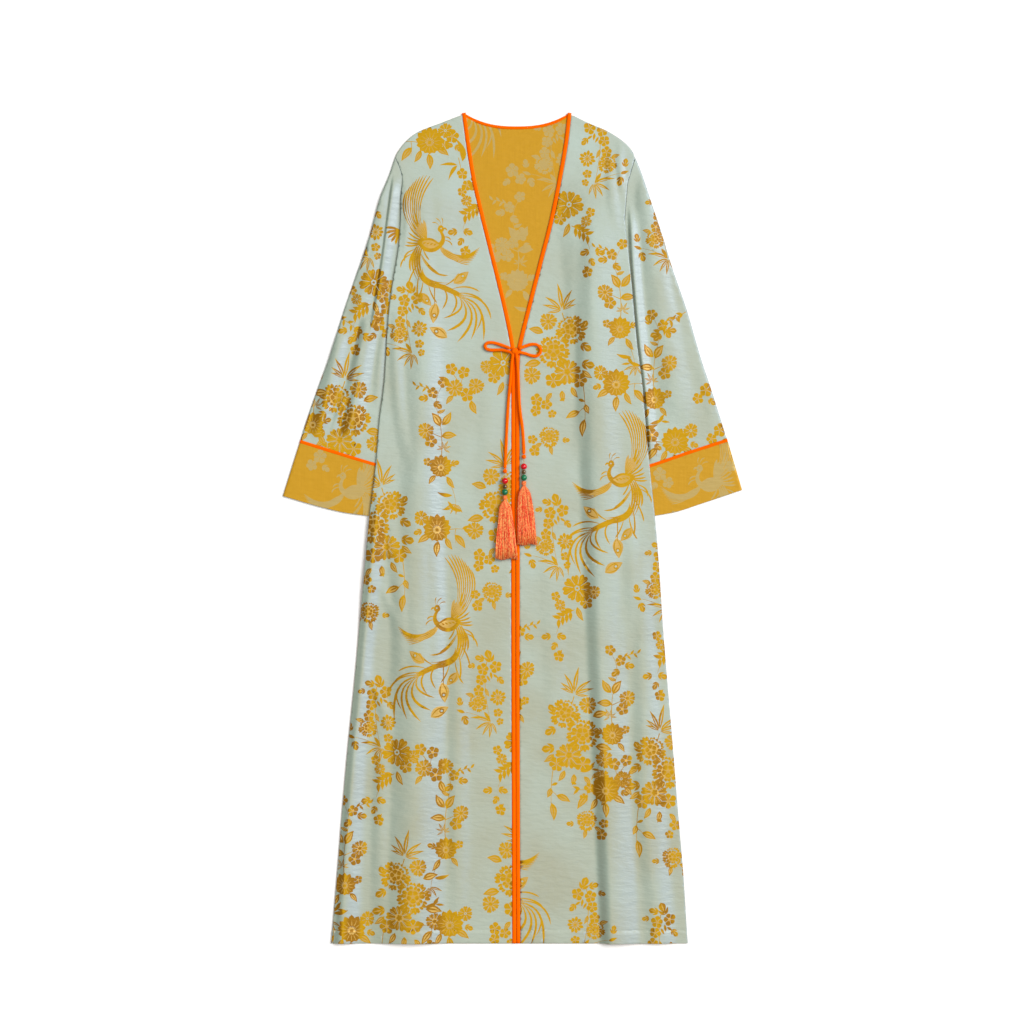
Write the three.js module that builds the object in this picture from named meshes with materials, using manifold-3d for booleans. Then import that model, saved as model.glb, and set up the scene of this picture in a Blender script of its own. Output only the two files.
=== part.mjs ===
// An open-front brocade abaya laid flat on its back, front up, neck away from the viewer.
// Millimetres. X runs across the garment, Y from the hem to the neck, Z up from the surface it lies on.
// Left and right are those of the view from above, so the left front is the wearer's right.
import * as THREE from 'three';
import { mergeVertices } from 'three/addons/utils/BufferGeometryUtils.js';
import Module from 'manifold-3d';

// Cloth and seams
const CLOTH = 1.2;
const SEAM_GAP = 0.3;
const TUBE_GAP = 0.6;
const HEM_Y = -661.5;
const HEM_DEPTH = 20;
const HEM_EXTRA = 0.6;

// Orange satin trims
const BINDING_WIDTH = 6.2;
const BINDING_HEIGHT = 2.2;
const NECK_BINDING_WIDTH = 4.8;
const PIPING_WIDTH = 5;
const PIPING_PROUD = 0.5;
const TIE_RADIUS = 2.5;

// Layers that lie on each other, from the surface up
const BACK_TOP = CLOTH;
const FRONT_LOW = BACK_TOP + SEAM_GAP;
const FRONT_TOP = FRONT_LOW + CLOTH;
const BINDING_TOP = FRONT_LOW + BINDING_HEIGHT;
const SLEEVE_TOP = 2 * CLOTH + TUBE_GAP;
const TUCK_LIFT = SLEEVE_TOP + PIPING_PROUD + SEAM_GAP;

// Neck: the highest point of each front edge, and the dip of the back neck between them
const NECK_CENTRE_X = 6.7;
const NECK_HALF_WIDTH = 84;
const NECK_LOW_Y = 637.6;
const NECK_DROP = 21;
const NECK_POWER = 2.5;

// Seam from the shoulder point to the neck point, by the share of its length
const SHOULDER = [
  { share: 0, leftX: -187, leftY: 590, rightX: 195.2, rightY: 590 },
  { share: 0.07, leftX: -182.7, leftY: 599, rightX: 190.4, rightY: 601 },
  { share: 0.25, leftX: -168.5, leftY: 617, rightX: 176, rightY: 616 },
  { share: 0.43, leftX: -150, leftY: 631, rightX: 153.2, rightY: 631 },
  { share: 0.72, leftX: -114.4, leftY: 645, rightX: 121, rightY: 645 },
  { share: 1, leftX: -82, leftY: 657.5, rightX: 95.6, rightY: 657.5 },
];

// Armhole seam: in sight down to y 492, then under the side of the body to the underarm. The panels
// and the sleeve all have a point at each row in sight, so that the seam keeps one gap.
const ARMHOLE_IN_SIGHT_Y = 492;
const UNDERARM_Y = 379;
const ARMHOLE = [
  { y: 590, left: -187, right: 195.2 },
  { y: 577, left: -181.2, right: 191.8 },
  { y: 563, left: -176.7, right: 187.6 },
  { y: 549, left: -175.6, right: 183.5 },
  { y: 533, left: -177.2, right: 182 },
  { y: 513, left: -177.8, right: 180.4 },
  { y: 492, left: -178, right: 178.8 },
  { y: 451, left: -174.5, right: 174.5 },
  { y: 414, left: -169.8, right: 169.8 },
  { y: 379, left: -161.5, right: 161 },
];

// Sides of the body, which lie over the inner edges of the sleeves
const SIDE = [
  { y: 492, left: -178, right: 178.8 },
  { y: 445, left: -181.7, right: 183.8 },
  { y: 397, left: -189.8, right: 189 },
  { y: 352, left: -196.2, right: 193 },
  { y: 293, left: -200.8, right: 198.5 },
  { y: 233, left: -204.2, right: 206.3 },
  { y: 173, left: -211.8, right: 211.5 },
  { y: 104, left: -217.5, right: 217.7 },
  { y: 20, left: -227.8, right: 226.6 },
  { y: -60, left: -235, right: 233.3 },
  { y: -150, left: -243.2, right: 239.3 },
  { y: -250, left: -252.2, right: 247.4 },
  { y: -350, left: -262.3, right: 255.8 },
  { y: -450, left: -271.2, right: 263.8 },
  { y: -555, left: -279.6, right: 272.6 },
  { y: -661.5, left: -288.7, right: 279.4 },
];

// Centre lines of the bound front edges: the V of the neck, then edge to edge down to the hem
const FRONT_EDGE = [
  { y: 661.1, left: -77.5, right: 90.9 },
  { y: 610, left: -70.6, right: 84.8 },
  { y: 555, left: -61.6, right: 75.1 },
  { y: 491, left: -46.9, right: 62.1 },
  { y: 420, left: -29.2, right: 43.9 },
  { y: 352, left: -12.8, right: 26.6 },
  { y: 296, left: -1.3, right: 12.8 },
  { y: 270, left: 1.1, right: 8.3 },
  { y: 204, left: 1.3, right: 8 },
  { y: -120, left: 1.1, right: 8.2 },
  { y: -274, left: 1.5, right: 8.1 },
  { y: -661.5, left: 2.7, right: 9.3 },
];

// Outer edges of the sleeves, shoulder point to the cuff seam
const SLEEVE_EDGE = [
  { y: 590, left: -187.4, right: 195.7 },
  { y: 563, left: -196.3, right: 206.5 },
  { y: 524, left: -211.8, right: 219.5 },
  { y: 463, left: -228.4, right: 239.7 },
  { y: 410, left: -246.4, right: 256 },
  { y: 350, left: -267.3, right: 276.8 },
  { y: 268, left: -293.4, right: 300.8 },
  { y: 231, left: -307, right: 313.2 },
  { y: 180, left: -325, right: 329.4 },
  { y: 138, left: -338.5, right: 342.5 },
];

// Cuff seam and cuff edge, by the share of the width from the outer to the inner edge
const CUFF_TOP = [
  { share: 0, leftX: -338.5, leftY: 138, rightX: 342.5, rightY: 140 },
  { share: 0.4, leftX: -280.9, leftY: 119.9, rightX: 280, rightY: 119.9 },
  { share: 0.82, leftX: -216, leftY: 100.4, rightX: 217.6, rightY: 98.8 },
  { share: 1, leftX: -190.5, leftY: 95, rightX: 190.5, rightY: 94 },
];
const CUFF_LOW = [
  { share: 0, leftX: -365.8, leftY: 51, rightX: 365.8, rightY: 60.6 },
  { share: 0.36, leftX: -307.2, leftY: 34, rightX: 302.7, rightY: 39.4 },
  { share: 0.6, leftX: -267.6, leftY: 24.7, rightX: 263, rightY: 26.4 },
  { share: 0.84, leftX: -227.9, leftY: 19.1, rightX: 227.1, rightY: 19.7 },
  { share: 1, leftX: -201.6, leftY: 15.9, rightX: 201.6, rightY: 15.9 },
];

// Soft folds of the fronts. A ridge runs through three points, its height changes from the top to
// the low end, and it falls off to zero over "outer" towards the side and "inner" towards the centre.
const FRONT_FOLDS = [
  { side: 'left', topY: 400, topX: -139, midY: 100, midX: -141, lowY: -661.5, lowX: -160,
    heightTop: 5, heightLow: 10, outerTop: 34, outerLow: 64, innerTop: 30, innerLow: 58, fade: 150 },
  { side: 'left', topY: 90, topX: -210, midY: -274, midX: -250, lowY: -661.5, lowX: -272,
    heightTop: 4, heightLow: 6, outerTop: 14, outerLow: 17, innerTop: 22, innerLow: 30, fade: 120 },
  { side: 'right', topY: 570, topX: 140, midY: 300, midX: 125.5, lowY: -661.5, lowX: 158.6,
    heightTop: 6, heightLow: 13, outerTop: 44, outerLow: 62, innerTop: 22, innerLow: 17, fade: 150 },
  { side: 'right', topY: 40, topX: 196, midY: -250, midX: 210, lowY: -661.5, lowX: 232,
    heightTop: 3, heightLow: 5, outerTop: 24, outerLow: 32, innerTop: 28, innerLow: 34, fade: 160 },
];
const SLEEVE_FOLDS = [
  { side: 'left', topY: 575, topX: -203, midY: 460, midX: -212, lowY: 300, lowX: -250,
    heightTop: 7, heightLow: 5, outerTop: 14, outerLow: 20, innerTop: 16, innerLow: 24, fade: 60 },
  { side: 'left', topY: 360, topX: -222, midY: 240, midX: -243, lowY: 130, lowX: -262,
    heightTop: 5, heightLow: 6, outerTop: 16, outerLow: 20, innerTop: 18, innerLow: 22, fade: 50 },
  { side: 'left', topY: 330, topX: -266, midY: 240, midX: -288, lowY: 130, lowX: -312,
    heightTop: 4, heightLow: 4, outerTop: 16, outerLow: 20, innerTop: 14, innerLow: 18, fade: 50 },
  { side: 'right', topY: 575, topX: 207, midY: 440, midX: 224, lowY: 150, lowX: 272,
    heightTop: 7, heightLow: 4, outerTop: 16, outerLow: 32, innerTop: 18, innerLow: 30, fade: 60 },
];

// Where the body is lifted by the sleeve tucked under its side. The front clears the back as it falls.
const TUCK = {
  back: { flat: 50, fade: 85, topFull: 505, topZero: 550, lowFull: -35, lowZero: -110 },
  front: { flat: 58, fade: 116, topFull: 512, topZero: 582, lowFull: -70, lowZero: -200 },
};

// Tie ends: a bow at the foot of the V, each tie with a loop, a tail, a knot, beads and a tassel
const BOW_KNOT = { x: 3.4, y: 281.5, radiusX: 5.8, radiusY: 5.2, radiusZ: 4.4 };
const ON_FRONT = FRONT_TOP + SEAM_GAP + TIE_RADIUS;
const ON_BINDING = BINDING_TOP + SEAM_GAP + TIE_RADIUS;
const KNOT_Z = BINDING_TOP + SEAM_GAP + BOW_KNOT.radiusZ;
const TIE_ROUTES = {
  tie_loop_left: [
    [-3.1, 285.3, KNOT_Z], [-8, 287.5, 7.2], [-14, 289.9, ON_FRONT + 0.3], [-23, 293, ON_FRONT],
    [-33, 295.2, ON_FRONT], [-40.6, 294.2, ON_FRONT], [-43.8, 289.6, ON_FRONT], [-41, 285, ON_FRONT],
    [-34, 283.2, ON_FRONT], [-25, 283.4, ON_FRONT], [-16, 283.2, ON_FRONT], [-9, 281.4, 6.6],
    [-3.1, 279.6, KNOT_Z - 0.6],
  ],
  tie_loop_right: [
    [9.9, 285.2, KNOT_Z], [15, 287.4, 7.2], [21.5, 289.8, ON_FRONT + 0.2], [31, 292.4, ON_FRONT],
    [39, 291.4, ON_FRONT], [44.2, 285.6, ON_FRONT], [43.6, 278.4, ON_FRONT], [37.6, 273.8, ON_FRONT],
    [29, 274.6, ON_FRONT], [21, 277.4, ON_FRONT + 0.2], [15, 278.8, 6.8], [9.9, 279.5, KNOT_Z - 0.6],
  ],
  tie_tail_left: [
    [0.3, 276.3, KNOT_Z - 0.8], [-0.6, 268, ON_BINDING + 0.3], [-2, 252, ON_BINDING],
    [-4, 228, ON_BINDING], [-6.4, 204, ON_FRONT + 0.2], [-8, 180, ON_FRONT], [-9.2, 158, ON_FRONT],
    [-10.4, 132, ON_FRONT], [-11.4, 110, ON_FRONT + 0.9], [-12, 94.4, 8],
  ],
  tie_tail_right: [
    [6.4, 276.3, KNOT_Z - 0.8], [7.4, 268, ON_BINDING + 0.3], [8.6, 250, ON_BINDING],
    [9.6, 226, ON_BINDING], [10.8, 200, ON_BINDING], [13, 178, ON_BINDING], [15.8, 158, ON_FRONT + 0.5],
    [17.2, 140, ON_FRONT + 0.3], [17.9, 126, ON_FRONT + 1.2], [18.1, 117.3, 8],
  ],
};
const END_KNOT_RADIUS = 3.6;
const BEAD_AXIS_Z = 8;
const BEAD_RADIUS = 5;
const SPACER = { radius: 3.8, half: 3.55 };
const LINK = { radius: 0.7, length: 6.4 };
const TASSEL = { length: 93.5, topHalfWidth: 10, collarRadius: 3.8, neckRadius: 2.1 };
const STRAND_ROWS = [
  { layer: 0, count: 11 },
  { layer: 1, count: 10 },
  { layer: 2, count: 11 },
  { layer: 3, count: 8 },
];
const TIE_ENDS = [
  { name: 'left', x: -12, knotY: 90.5, tipX: -9.6, halfWidth: 18 },
  { name: 'right', x: 18.1, knotY: 113.4, tipX: 23.6, halfWidth: 16 },
];

const FINISH = {
  brocade: { color: '#c3d2c4', roughness: 0.5 },
  gold: { color: '#d4a12e', roughness: 0.5 },
  satin: { color: '#ff6a08', roughness: 0.45 },
  thread: { color: '#ff8346', roughness: 0.6 },
  red: { color: '#cf1f34', roughness: 0.25 },
  spacer: { color: '#8a6a3a', roughness: 0.2 },
  green: { color: '#0f7a55', roughness: 0.25 },
};

const wasm = await Module();
wasm.setup();

const clamp01 = (t) => Math.min(1, Math.max(0, t));
const mix = (a, b, t) => a + (b - a) * t;

// Smooth step from 0 at "start" to 1 at "end".
function ease(start, end, value) {
  const t = clamp01((value - start) / (end - start));
  return t * t * (3 - 2 * t);
}

// A column of a table, read between its rows with a cubic that passes through every row.
function column(rows, key, name, at) {
  const falling = rows[0][key] > rows[1][key];
  const ordered = falling ? [...rows].reverse() : rows;
  const where = Math.min(ordered.at(-1)[key], Math.max(ordered[0][key], at));
  let i = 0;
  while (i < ordered.length - 2 && where > ordered[i + 1][key]) i += 1;
  const slope = (k) => {
    const before = ordered[Math.max(0, k - 1)];
    const after = ordered[Math.min(ordered.length - 1, k + 1)];
    return (after[name] - before[name]) / (after[key] - before[key]);
  };
  const span = ordered[i + 1][key] - ordered[i][key];
  const t = (where - ordered[i][key]) / span;
  const h = t * t * (3 - 2 * t);
  const bend = slope(i) * span * t * (1 - t) ** 2 - slope(i + 1) * span * t * t * (1 - t);
  return mix(ordered[i][name], ordered[i + 1][name], h) + bend;
}

// Side edge of a front or of the back: the armhole seam, then the side seam.
function sideX(side, y) {
  const inSight = y > ARMHOLE_IN_SIGHT_Y;
  return inSight ? column(ARMHOLE, 'y', side, y) : column(SIDE, 'y', side, y);
}

const tablePoint = (rows, side, share) => new THREE.Vector2(
  column(rows, 'share', `${side}X`, share),
  column(rows, 'share', `${side}Y`, share),
);

// Height of one fold above the flat cloth.
function foldHeight(fold, x, y) {
  const spine = [
    { y: fold.topY, x: fold.topX },
    { y: fold.midY, x: fold.midX },
    { y: fold.lowY, x: fold.lowX },
  ];
  const down = clamp01((fold.topY - y) / (fold.topY - fold.lowY));
  const away = (x - column(spine, 'y', 'x', y)) * Math.sign(fold.topX);
  const width = away > 0
    ? mix(fold.outerTop, fold.outerLow, down)
    : mix(fold.innerTop, fold.innerLow, down);
  const t = Math.min(1, Math.abs(away) / width);
  const fadeIn = ease(fold.topY, fold.topY - fold.fade, y);
  const fadeOut = fold.lowY > HEM_Y ? ease(fold.lowY, fold.lowY + fold.fade, y) : 1;
  return mix(fold.heightTop, fold.heightLow, down) * (1 - t * t) ** 2 * fadeIn * fadeOut;
}

const foldsAt = (folds, side, x, y) => folds
  .filter((fold) => fold.side === side)
  .reduce((sum, fold) => sum + foldHeight(fold, x, y), 0);

// Lift of a body panel over the sleeve that is tucked under its side.
function tuckLift(tuck, side, x, y) {
  const inward = Math.abs(sideX(side, y)) - Math.abs(x);
  const across = 1 - ease(tuck.flat, tuck.fade, inward);
  const top = 1 - ease(tuck.topFull, tuck.topZero, y);
  const low = ease(tuck.lowZero, tuck.lowFull, y);
  return TUCK_LIFT * across * top * low;
}

function frontLow(side, x, y) {
  const awayFromSide = ease(0, 12, Math.abs(sideX(side, y)) - Math.abs(x));
  const folds = foldsAt(FRONT_FOLDS, side, x, y) * awayFromSide;
  return FRONT_LOW + tuckLift(TUCK.front, side, x, y) + folds;
}

// Wall thickness measured straight up that keeps the cloth's own thickness on a slope.
function uprightThickness(height, x, y) {
  const step = 2;
  const dx = (height(x + step, y) - height(x - step, y)) / (2 * step);
  const dy = (height(x, y + step) - height(x, y - step)) / (2 * step);
  return CLOTH * Math.sqrt(1 + dx * dx + dy * dy);
}

// Four-sided patch between four edge curves, each a function of a share from 0 to 1.
function patch(top, low, outer, inner) {
  return (u, v) => {
    const corners = mix(mix(top(0).x, top(1).x, u), mix(low(0).x, low(1).x, u), v);
    const cornersY = mix(mix(top(0).y, top(1).y, u), mix(low(0).y, low(1).y, u), v);
    const x = mix(top(u).x, low(u).x, v) + mix(outer(v).x, inner(v).x, u) - corners;
    const y = mix(top(u).y, low(u).y, v) + mix(outer(v).y, inner(v).y, u) - cornersY;
    return new THREE.Vector2(x, y);
  };
}

function geometryFrom(positions, indices) {
  const geometry = new THREE.BufferGeometry();
  geometry.setAttribute('position', new THREE.Float32BufferAttribute(positions, 3));
  geometry.setIndex(indices);
  return geometry;
}

// Turns a closed geometry the right way out if its volume comes out negative.
function facingOut(geometry) {
  const p = geometry.attributes.position;
  const index = geometry.index.array;
  const [a, b, c] = [new THREE.Vector3(), new THREE.Vector3(), new THREE.Vector3()];
  let volume = 0;
  for (let i = 0; i < index.length; i += 3) {
    a.fromBufferAttribute(p, index[i]);
    b.fromBufferAttribute(p, index[i + 1]);
    c.fromBufferAttribute(p, index[i + 2]);
    volume += a.dot(b.cross(c));
  }
  if (volume < 0) {
    for (let i = 0; i < index.length; i += 3) {
      [index[i], index[i + 1]] = [index[i + 1], index[i]];
    }
  }
  return geometry;
}

// Closed wall between a low and a high surface on a grid of columns and rows.
function wall(columns, rows, place, low, high) {
  const positions = [];
  const across = columns.length;
  const down = rows.length;
  for (const surface of [low, high]) {
    for (const v of rows) {
      for (const u of columns) {
        const { x, y } = place(u, v);
        positions.push(x, y, surface(x, y));
      }
    }
  }
  const layer = across * down;
  const at = (i, j, k) => k * layer + j * across + i;
  const indices = [];
  const quad = (a, b, c, d) => indices.push(a, b, c, a, c, d);
  for (let j = 0; j < down - 1; j += 1) {
    for (let i = 0; i < across - 1; i += 1) {
      quad(at(i, j, 1), at(i, j + 1, 1), at(i + 1, j + 1, 1), at(i + 1, j, 1));
      quad(at(i, j, 0), at(i + 1, j, 0), at(i + 1, j + 1, 0), at(i, j + 1, 0));
    }
  }
  for (let j = 0; j < down - 1; j += 1) {
    quad(at(0, j, 1), at(0, j, 0), at(0, j + 1, 0), at(0, j + 1, 1));
    quad(at(across - 1, j, 0), at(across - 1, j, 1), at(across - 1, j + 1, 1), at(across - 1, j + 1, 0));
  }
  for (let i = 0; i < across - 1; i += 1) {
    quad(at(i, 0, 0), at(i, 0, 1), at(i + 1, 0, 1), at(i + 1, 0, 0));
    quad(at(i, down - 1, 1), at(i, down - 1, 0), at(i + 1, down - 1, 0), at(i + 1, down - 1, 1));
  }
  return facingOut(geometryFrom(positions, indices));
}

// Closed wall of a flat tube: each station gives a ring of outer points and one of inner points.
function tubeWall(stations) {
  const ring = stations[0].outer.length;
  const positions = [];
  stations.forEach(({ outer, inner }) => {
    [...outer, ...inner].forEach((point) => positions.push(point.x, point.y, point.z));
  });
  const at = (station, side, i) => station * 2 * ring + side * ring + (i % ring);
  const indices = [];
  const quad = (a, b, c, d) => indices.push(a, b, c, a, c, d);
  const last = stations.length - 1;
  for (let s = 0; s < last; s += 1) {
    for (let i = 0; i < ring; i += 1) {
      quad(at(s, 0, i), at(s, 0, i + 1), at(s + 1, 0, i + 1), at(s + 1, 0, i));
      quad(at(s, 1, i + 1), at(s, 1, i), at(s + 1, 1, i), at(s + 1, 1, i + 1));
    }
  }
  for (let i = 0; i < ring; i += 1) {
    quad(at(0, 0, i + 1), at(0, 0, i), at(0, 1, i), at(0, 1, i + 1));
    quad(at(last, 0, i), at(last, 0, i + 1), at(last, 1, i + 1), at(last, 1, i));
  }
  return facingOut(geometryFrom(positions, indices));
}

// A strip of satin along a line: its section is flat below and rounded off above.
function strip(centre, shares, width, low, high) {
  const half = width / 2;
  const round = 0.9;
  const near = 0.001;
  const count = shares.length - 1;
  const positions = [];
  for (const t of shares) {
    const here = centre(t);
    const along = centre(Math.min(1, t + near)).sub(centre(Math.max(0, t - near))).normalize();
    const zLow = low(t);
    const zHigh = high(t);
    const section = [
      [-half, zLow], [half, zLow], [half, zHigh - round * 0.6],
      [half - round, zHigh], [round - half, zHigh], [-half, zHigh - round * 0.6],
    ];
    section.forEach(([aside, z]) => {
      positions.push(here.x - along.y * aside, here.y + along.x * aside, z);
    });
  }
  const sides = 6;
  const indices = [];
  for (let s = 0; s < count; s += 1) {
    for (let i = 0; i < sides; i += 1) {
      const a = s * sides + i;
      const b = s * sides + ((i + 1) % sides);
      indices.push(a, b, b + sides, a, b + sides, a + sides);
    }
  }
  for (let i = 1; i < sides - 1; i += 1) {
    indices.push(0, i + 1, i);
    indices.push(count * sides, count * sides + i, count * sides + i + 1);
  }
  return facingOut(geometryFrom(positions, indices));
}

const mesh = (name, geometry, finish) => {
  const material = new THREE.MeshStandardMaterial({ ...FINISH[finish], metalness: 0 });
  const result = new THREE.Mesh(geometry, material);
  result.name = name;
  return result;
};

const evenShares = (count) => Array.from({ length: count + 1 }, (_, i) => i / count);

// Rows of the panels by their height at the side: the armhole's, then evenly down to the turned hem.
const SHOULDER_Y = ARMHOLE[0].y;
const HEM_START_Y = HEM_Y + HEM_DEPTH;
const shareDown = (y) => (SHOULDER_Y - y) / (SHOULDER_Y - HEM_Y);
function rowsDown(count) {
  const armhole = ARMHOLE.map((row) => row.y).filter((y) => y >= ARMHOLE_IN_SIGHT_Y);
  const sides = evenShares(count).slice(1).map((t) => mix(ARMHOLE_IN_SIGHT_Y, HEM_START_Y, t));
  return [...armhole, ...sides, HEM_Y].map(shareDown);
}

// Front panel, from the side to its bound edge.
const FRONT_ROWS = rowsDown(22);
const EDGE_TOP_Y = SHOULDER.at(-1).leftY;
const BINDING_SEAT = BINDING_WIDTH / 2 + SEAM_GAP;
function frontPatch(side) {
  const sign = side === 'left' ? -1 : 1;
  const inset = 0.2;
  const top = (u) => tablePoint(SHOULDER, side, u).add(new THREE.Vector2(-sign * inset * (1 - u), 0));
  const low = (u) => new THREE.Vector2(
    mix(sideX(side, HEM_Y) - sign * inset, column(FRONT_EDGE, 'y', side, HEM_Y) + sign * BINDING_SEAT, u),
    HEM_Y,
  );
  const outer = (v) => {
    const y = mix(top(0).y, HEM_Y, v);
    return new THREE.Vector2(sideX(side, y) - sign * inset, y);
  };
  const inner = (v) => {
    const y = mix(top(1).y, HEM_Y, v);
    const step = 3;
    const slope = (column(FRONT_EDGE, 'y', side, y + step) - column(FRONT_EDGE, 'y', side, y - step))
      / (2 * step);
    const seat = BINDING_SEAT * Math.sqrt(1 + slope * slope);
    return new THREE.Vector2(column(FRONT_EDGE, 'y', side, y) + sign * seat, y);
  };
  return patch(top, low, outer, inner);
}

// Columns of the right front stand closer together at its steep fold.
const FRONT_COLUMNS = {
  left: evenShares(17),
  right: [0, 0.07, 0.14, 0.21, 0.28, 0.33, 0.37, 0.4, 0.43, 0.46, 0.49, 0.53, 0.58, 0.65, 0.73, 0.82, 0.91, 1],
};
function frontPanel(side) {
  const low = (x, y) => frontLow(side, x, y);
  const high = (x, y) => {
    const turnedHem = HEM_EXTRA * ease(HEM_START_Y, HEM_Y, y);
    return low(x, y) + uprightThickness(low, x, y) + turnedHem;
  };
  return wall(FRONT_COLUMNS[side], FRONT_ROWS, frontPatch(side), low, high);
}

// Back neck line, and the back panel under it
const neckY = (x) => {
  const away = Math.min(1, Math.abs(x - NECK_CENTRE_X) / NECK_HALF_WIDTH);
  return NECK_LOW_Y + NECK_DROP * away ** NECK_POWER;
};

const NECK_LEFT_SHARE = 0.28;
const NECK_RIGHT_SHARE = 0.73;
const BACK_COLUMNS = [
  0, 0.04, 0.08, 0.12, 0.17, 0.22, NECK_LEFT_SHARE, 0.33, 0.38, 0.43, 0.48, 0.53, 0.58, 0.63, 0.68,
  NECK_RIGHT_SHARE, 0.79, 0.84, 0.88, 0.92, 0.96, 1,
];
function backTopEdge(u) {
  if (u <= NECK_LEFT_SHARE) return tablePoint(SHOULDER, 'left', u / NECK_LEFT_SHARE);
  if (u >= NECK_RIGHT_SHARE) return tablePoint(SHOULDER, 'right', (1 - u) / (1 - NECK_RIGHT_SHARE));
  const share = (u - NECK_LEFT_SHARE) / (NECK_RIGHT_SHARE - NECK_LEFT_SHARE);
  const x = mix(tablePoint(SHOULDER, 'left', 1).x, tablePoint(SHOULDER, 'right', 1).x, share);
  const slope = (neckY(x + 1) - neckY(x - 1)) / 2;
  const underNeck = (NECK_BINDING_WIDTH / 2 + 2 * SEAM_GAP) * Math.sqrt(1 + slope * slope);
  return new THREE.Vector2(x, neckY(x) - underNeck);
}

function backPanel() {
  const inset = 0.2;
  const edge = (side, sign) => (v) => {
    const y = mix(SHOULDER_Y, HEM_Y, v);
    return new THREE.Vector2(sideX(side, y) - sign * inset, y);
  };
  const left = edge('left', -1);
  const right = edge('right', 1);
  const top = (u) => {
    const point = backTopEdge(u);
    return u === 0 ? left(0) : u === 1 ? right(0) : point;
  };
  const low = (u) => new THREE.Vector2(mix(left(1).x, right(1).x, u), HEM_Y);
  const side = (x) => (x < NECK_CENTRE_X ? 'left' : 'right');
  const under = (x, y) => tuckLift(TUCK.back, side(x), x, y);
  const over = (x, y) => under(x, y) + BACK_TOP;
  return wall(BACK_COLUMNS, rowsDown(14), patch(top, low, left, right), under, over);
}

// Sleeve: a flat tube between its outer edge, the armhole, its inner edge and the cuff seam.
const cuffAxis = (side, share) => tablePoint(CUFF_LOW, side, share)
  .sub(tablePoint(CUFF_TOP, side, share)).normalize();

const alongCuff = (side, share, distance) => tablePoint(CUFF_TOP, side, share)
  .add(cuffAxis(side, share).multiplyScalar(distance));

function sleevePatch(side) {
  const sign = side === 'left' ? -1 : 1;
  const cuffSeam = (u) => alongCuff(side, u, -(PIPING_WIDTH / 2 + SEAM_GAP));
  const armhole = (u) => {
    const y = mix(SHOULDER_Y, UNDERARM_Y, u);
    return new THREE.Vector2(column(ARMHOLE, 'y', side, y) + sign * 0.2, y);
  };
  const outer = (v) => {
    const y = mix(SHOULDER_Y, cuffSeam(0).y, v);
    const x = v === 0 ? armhole(0).x : column(SLEEVE_EDGE, 'y', side, y);
    return new THREE.Vector2(x, y);
  };
  const inner = (v) => armhole(1).lerp(cuffSeam(1), v);
  return patch(armhole, cuffSeam, outer, inner);
}

// Folds of the sleeve's upper layer stop short of the side of the body that lies on it.
function sleeveFolds(side, x, y) {
  const clear = Math.abs(x) - Math.abs(sideX(side, Math.min(y, SHOULDER_Y)));
  return foldsAt(SLEEVE_FOLDS, side, x, y) * ease(9, 22, clear);
}

// Ring of a flat tube across the grid of a patch: under layer outwards, edge, upper layer back, edge.
function flatRing(place, v, columns, crown) {
  const outer = [];
  const inner = [];
  const edge = 1.1;
  const middle = SLEEVE_TOP / 2;
  const count = columns.length;
  const first = place(0, v);
  const last = place(1, v);
  const across = last.clone().sub(first).normalize();
  const push = (list, point, z) => list.push(new THREE.Vector3(point.x, point.y, z));
  columns.forEach((u, i) => {
    const point = place(u, v);
    if (i === 0) point.addScaledVector(across, edge);
    if (i === count - 1) point.addScaledVector(across, -edge);
    push(outer, point, 0);
    const within = point.clone();
    if (i === 0) within.addScaledVector(across, CLOTH);
    if (i === count - 1) within.addScaledVector(across, -CLOTH);
    push(inner, within, CLOTH);
  });
  push(outer, last, middle);
  push(inner, last.clone().addScaledVector(across, -(edge + CLOTH)), middle);
  [...columns].reverse().forEach((u, i) => {
    const point = place(u, v);
    if (i === 0) point.addScaledVector(across, -edge);
    if (i === count - 1) point.addScaledVector(across, edge);
    push(outer, point, SLEEVE_TOP + crown(point.x, point.y));
    const within = point.clone();
    if (i === 0) within.addScaledVector(across, -CLOTH);
    if (i === count - 1) within.addScaledVector(across, CLOTH);
    push(inner, within, SLEEVE_TOP - CLOTH + crown(within.x, within.y));
  });
  push(outer, first, middle);
  push(inner, first.clone().addScaledVector(across, edge + CLOTH), middle);
  return { outer, inner };
}

// Columns of the sleeves, cuffs and piping: a point at each row of the armhole, and some between.
const UNDER_ARM_ROWS = [474, 451, 432, 414, 396];
const SLEEVE_COLUMNS = [
  ...ARMHOLE.map((row) => row.y).filter((y) => y >= ARMHOLE_IN_SIGHT_Y), ...UNDER_ARM_ROWS, UNDERARM_Y,
].map((y) => (SHOULDER_Y - y) / (SHOULDER_Y - UNDERARM_Y));

function sleeve(side) {
  const place = sleevePatch(side);
  const crown = (x, y) => sleeveFolds(side, x, y);
  return tubeWall(evenShares(13).map((v) => flatRing(place, v, SLEEVE_COLUMNS, crown)));
}

// Cuff: a band with the cloth's gold wrong side out, from the piping to the open end.
function cuff(side) {
  const start = PIPING_WIDTH / 2 + SEAM_GAP;
  const place = (u, v) => alongCuff(side, u, start).lerp(tablePoint(CUFF_LOW, side, u), v);
  return tubeWall(evenShares(2).map((v) => flatRing(place, v, SLEEVE_COLUMNS, () => 0)));
}

// Piping: a ring of satin round the sleeve, a little proud of the cloth but level below.
function piping(side) {
  const half = PIPING_WIDTH / 2;
  const place = (u, v) => alongCuff(side, u, mix(-half, half, v));
  const stations = evenShares(3).map((v) => {
    const ring = flatRing(place, v, SLEEVE_COLUMNS, () => 0);
    const proud = v === 0 || v === 1 ? 0 : PIPING_PROUD;
    ring.outer.forEach((point) => {
      if (point.z > SLEEVE_TOP / 2) point.z += proud;
    });
    return ring;
  });
  return tubeWall(stations);
}

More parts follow.
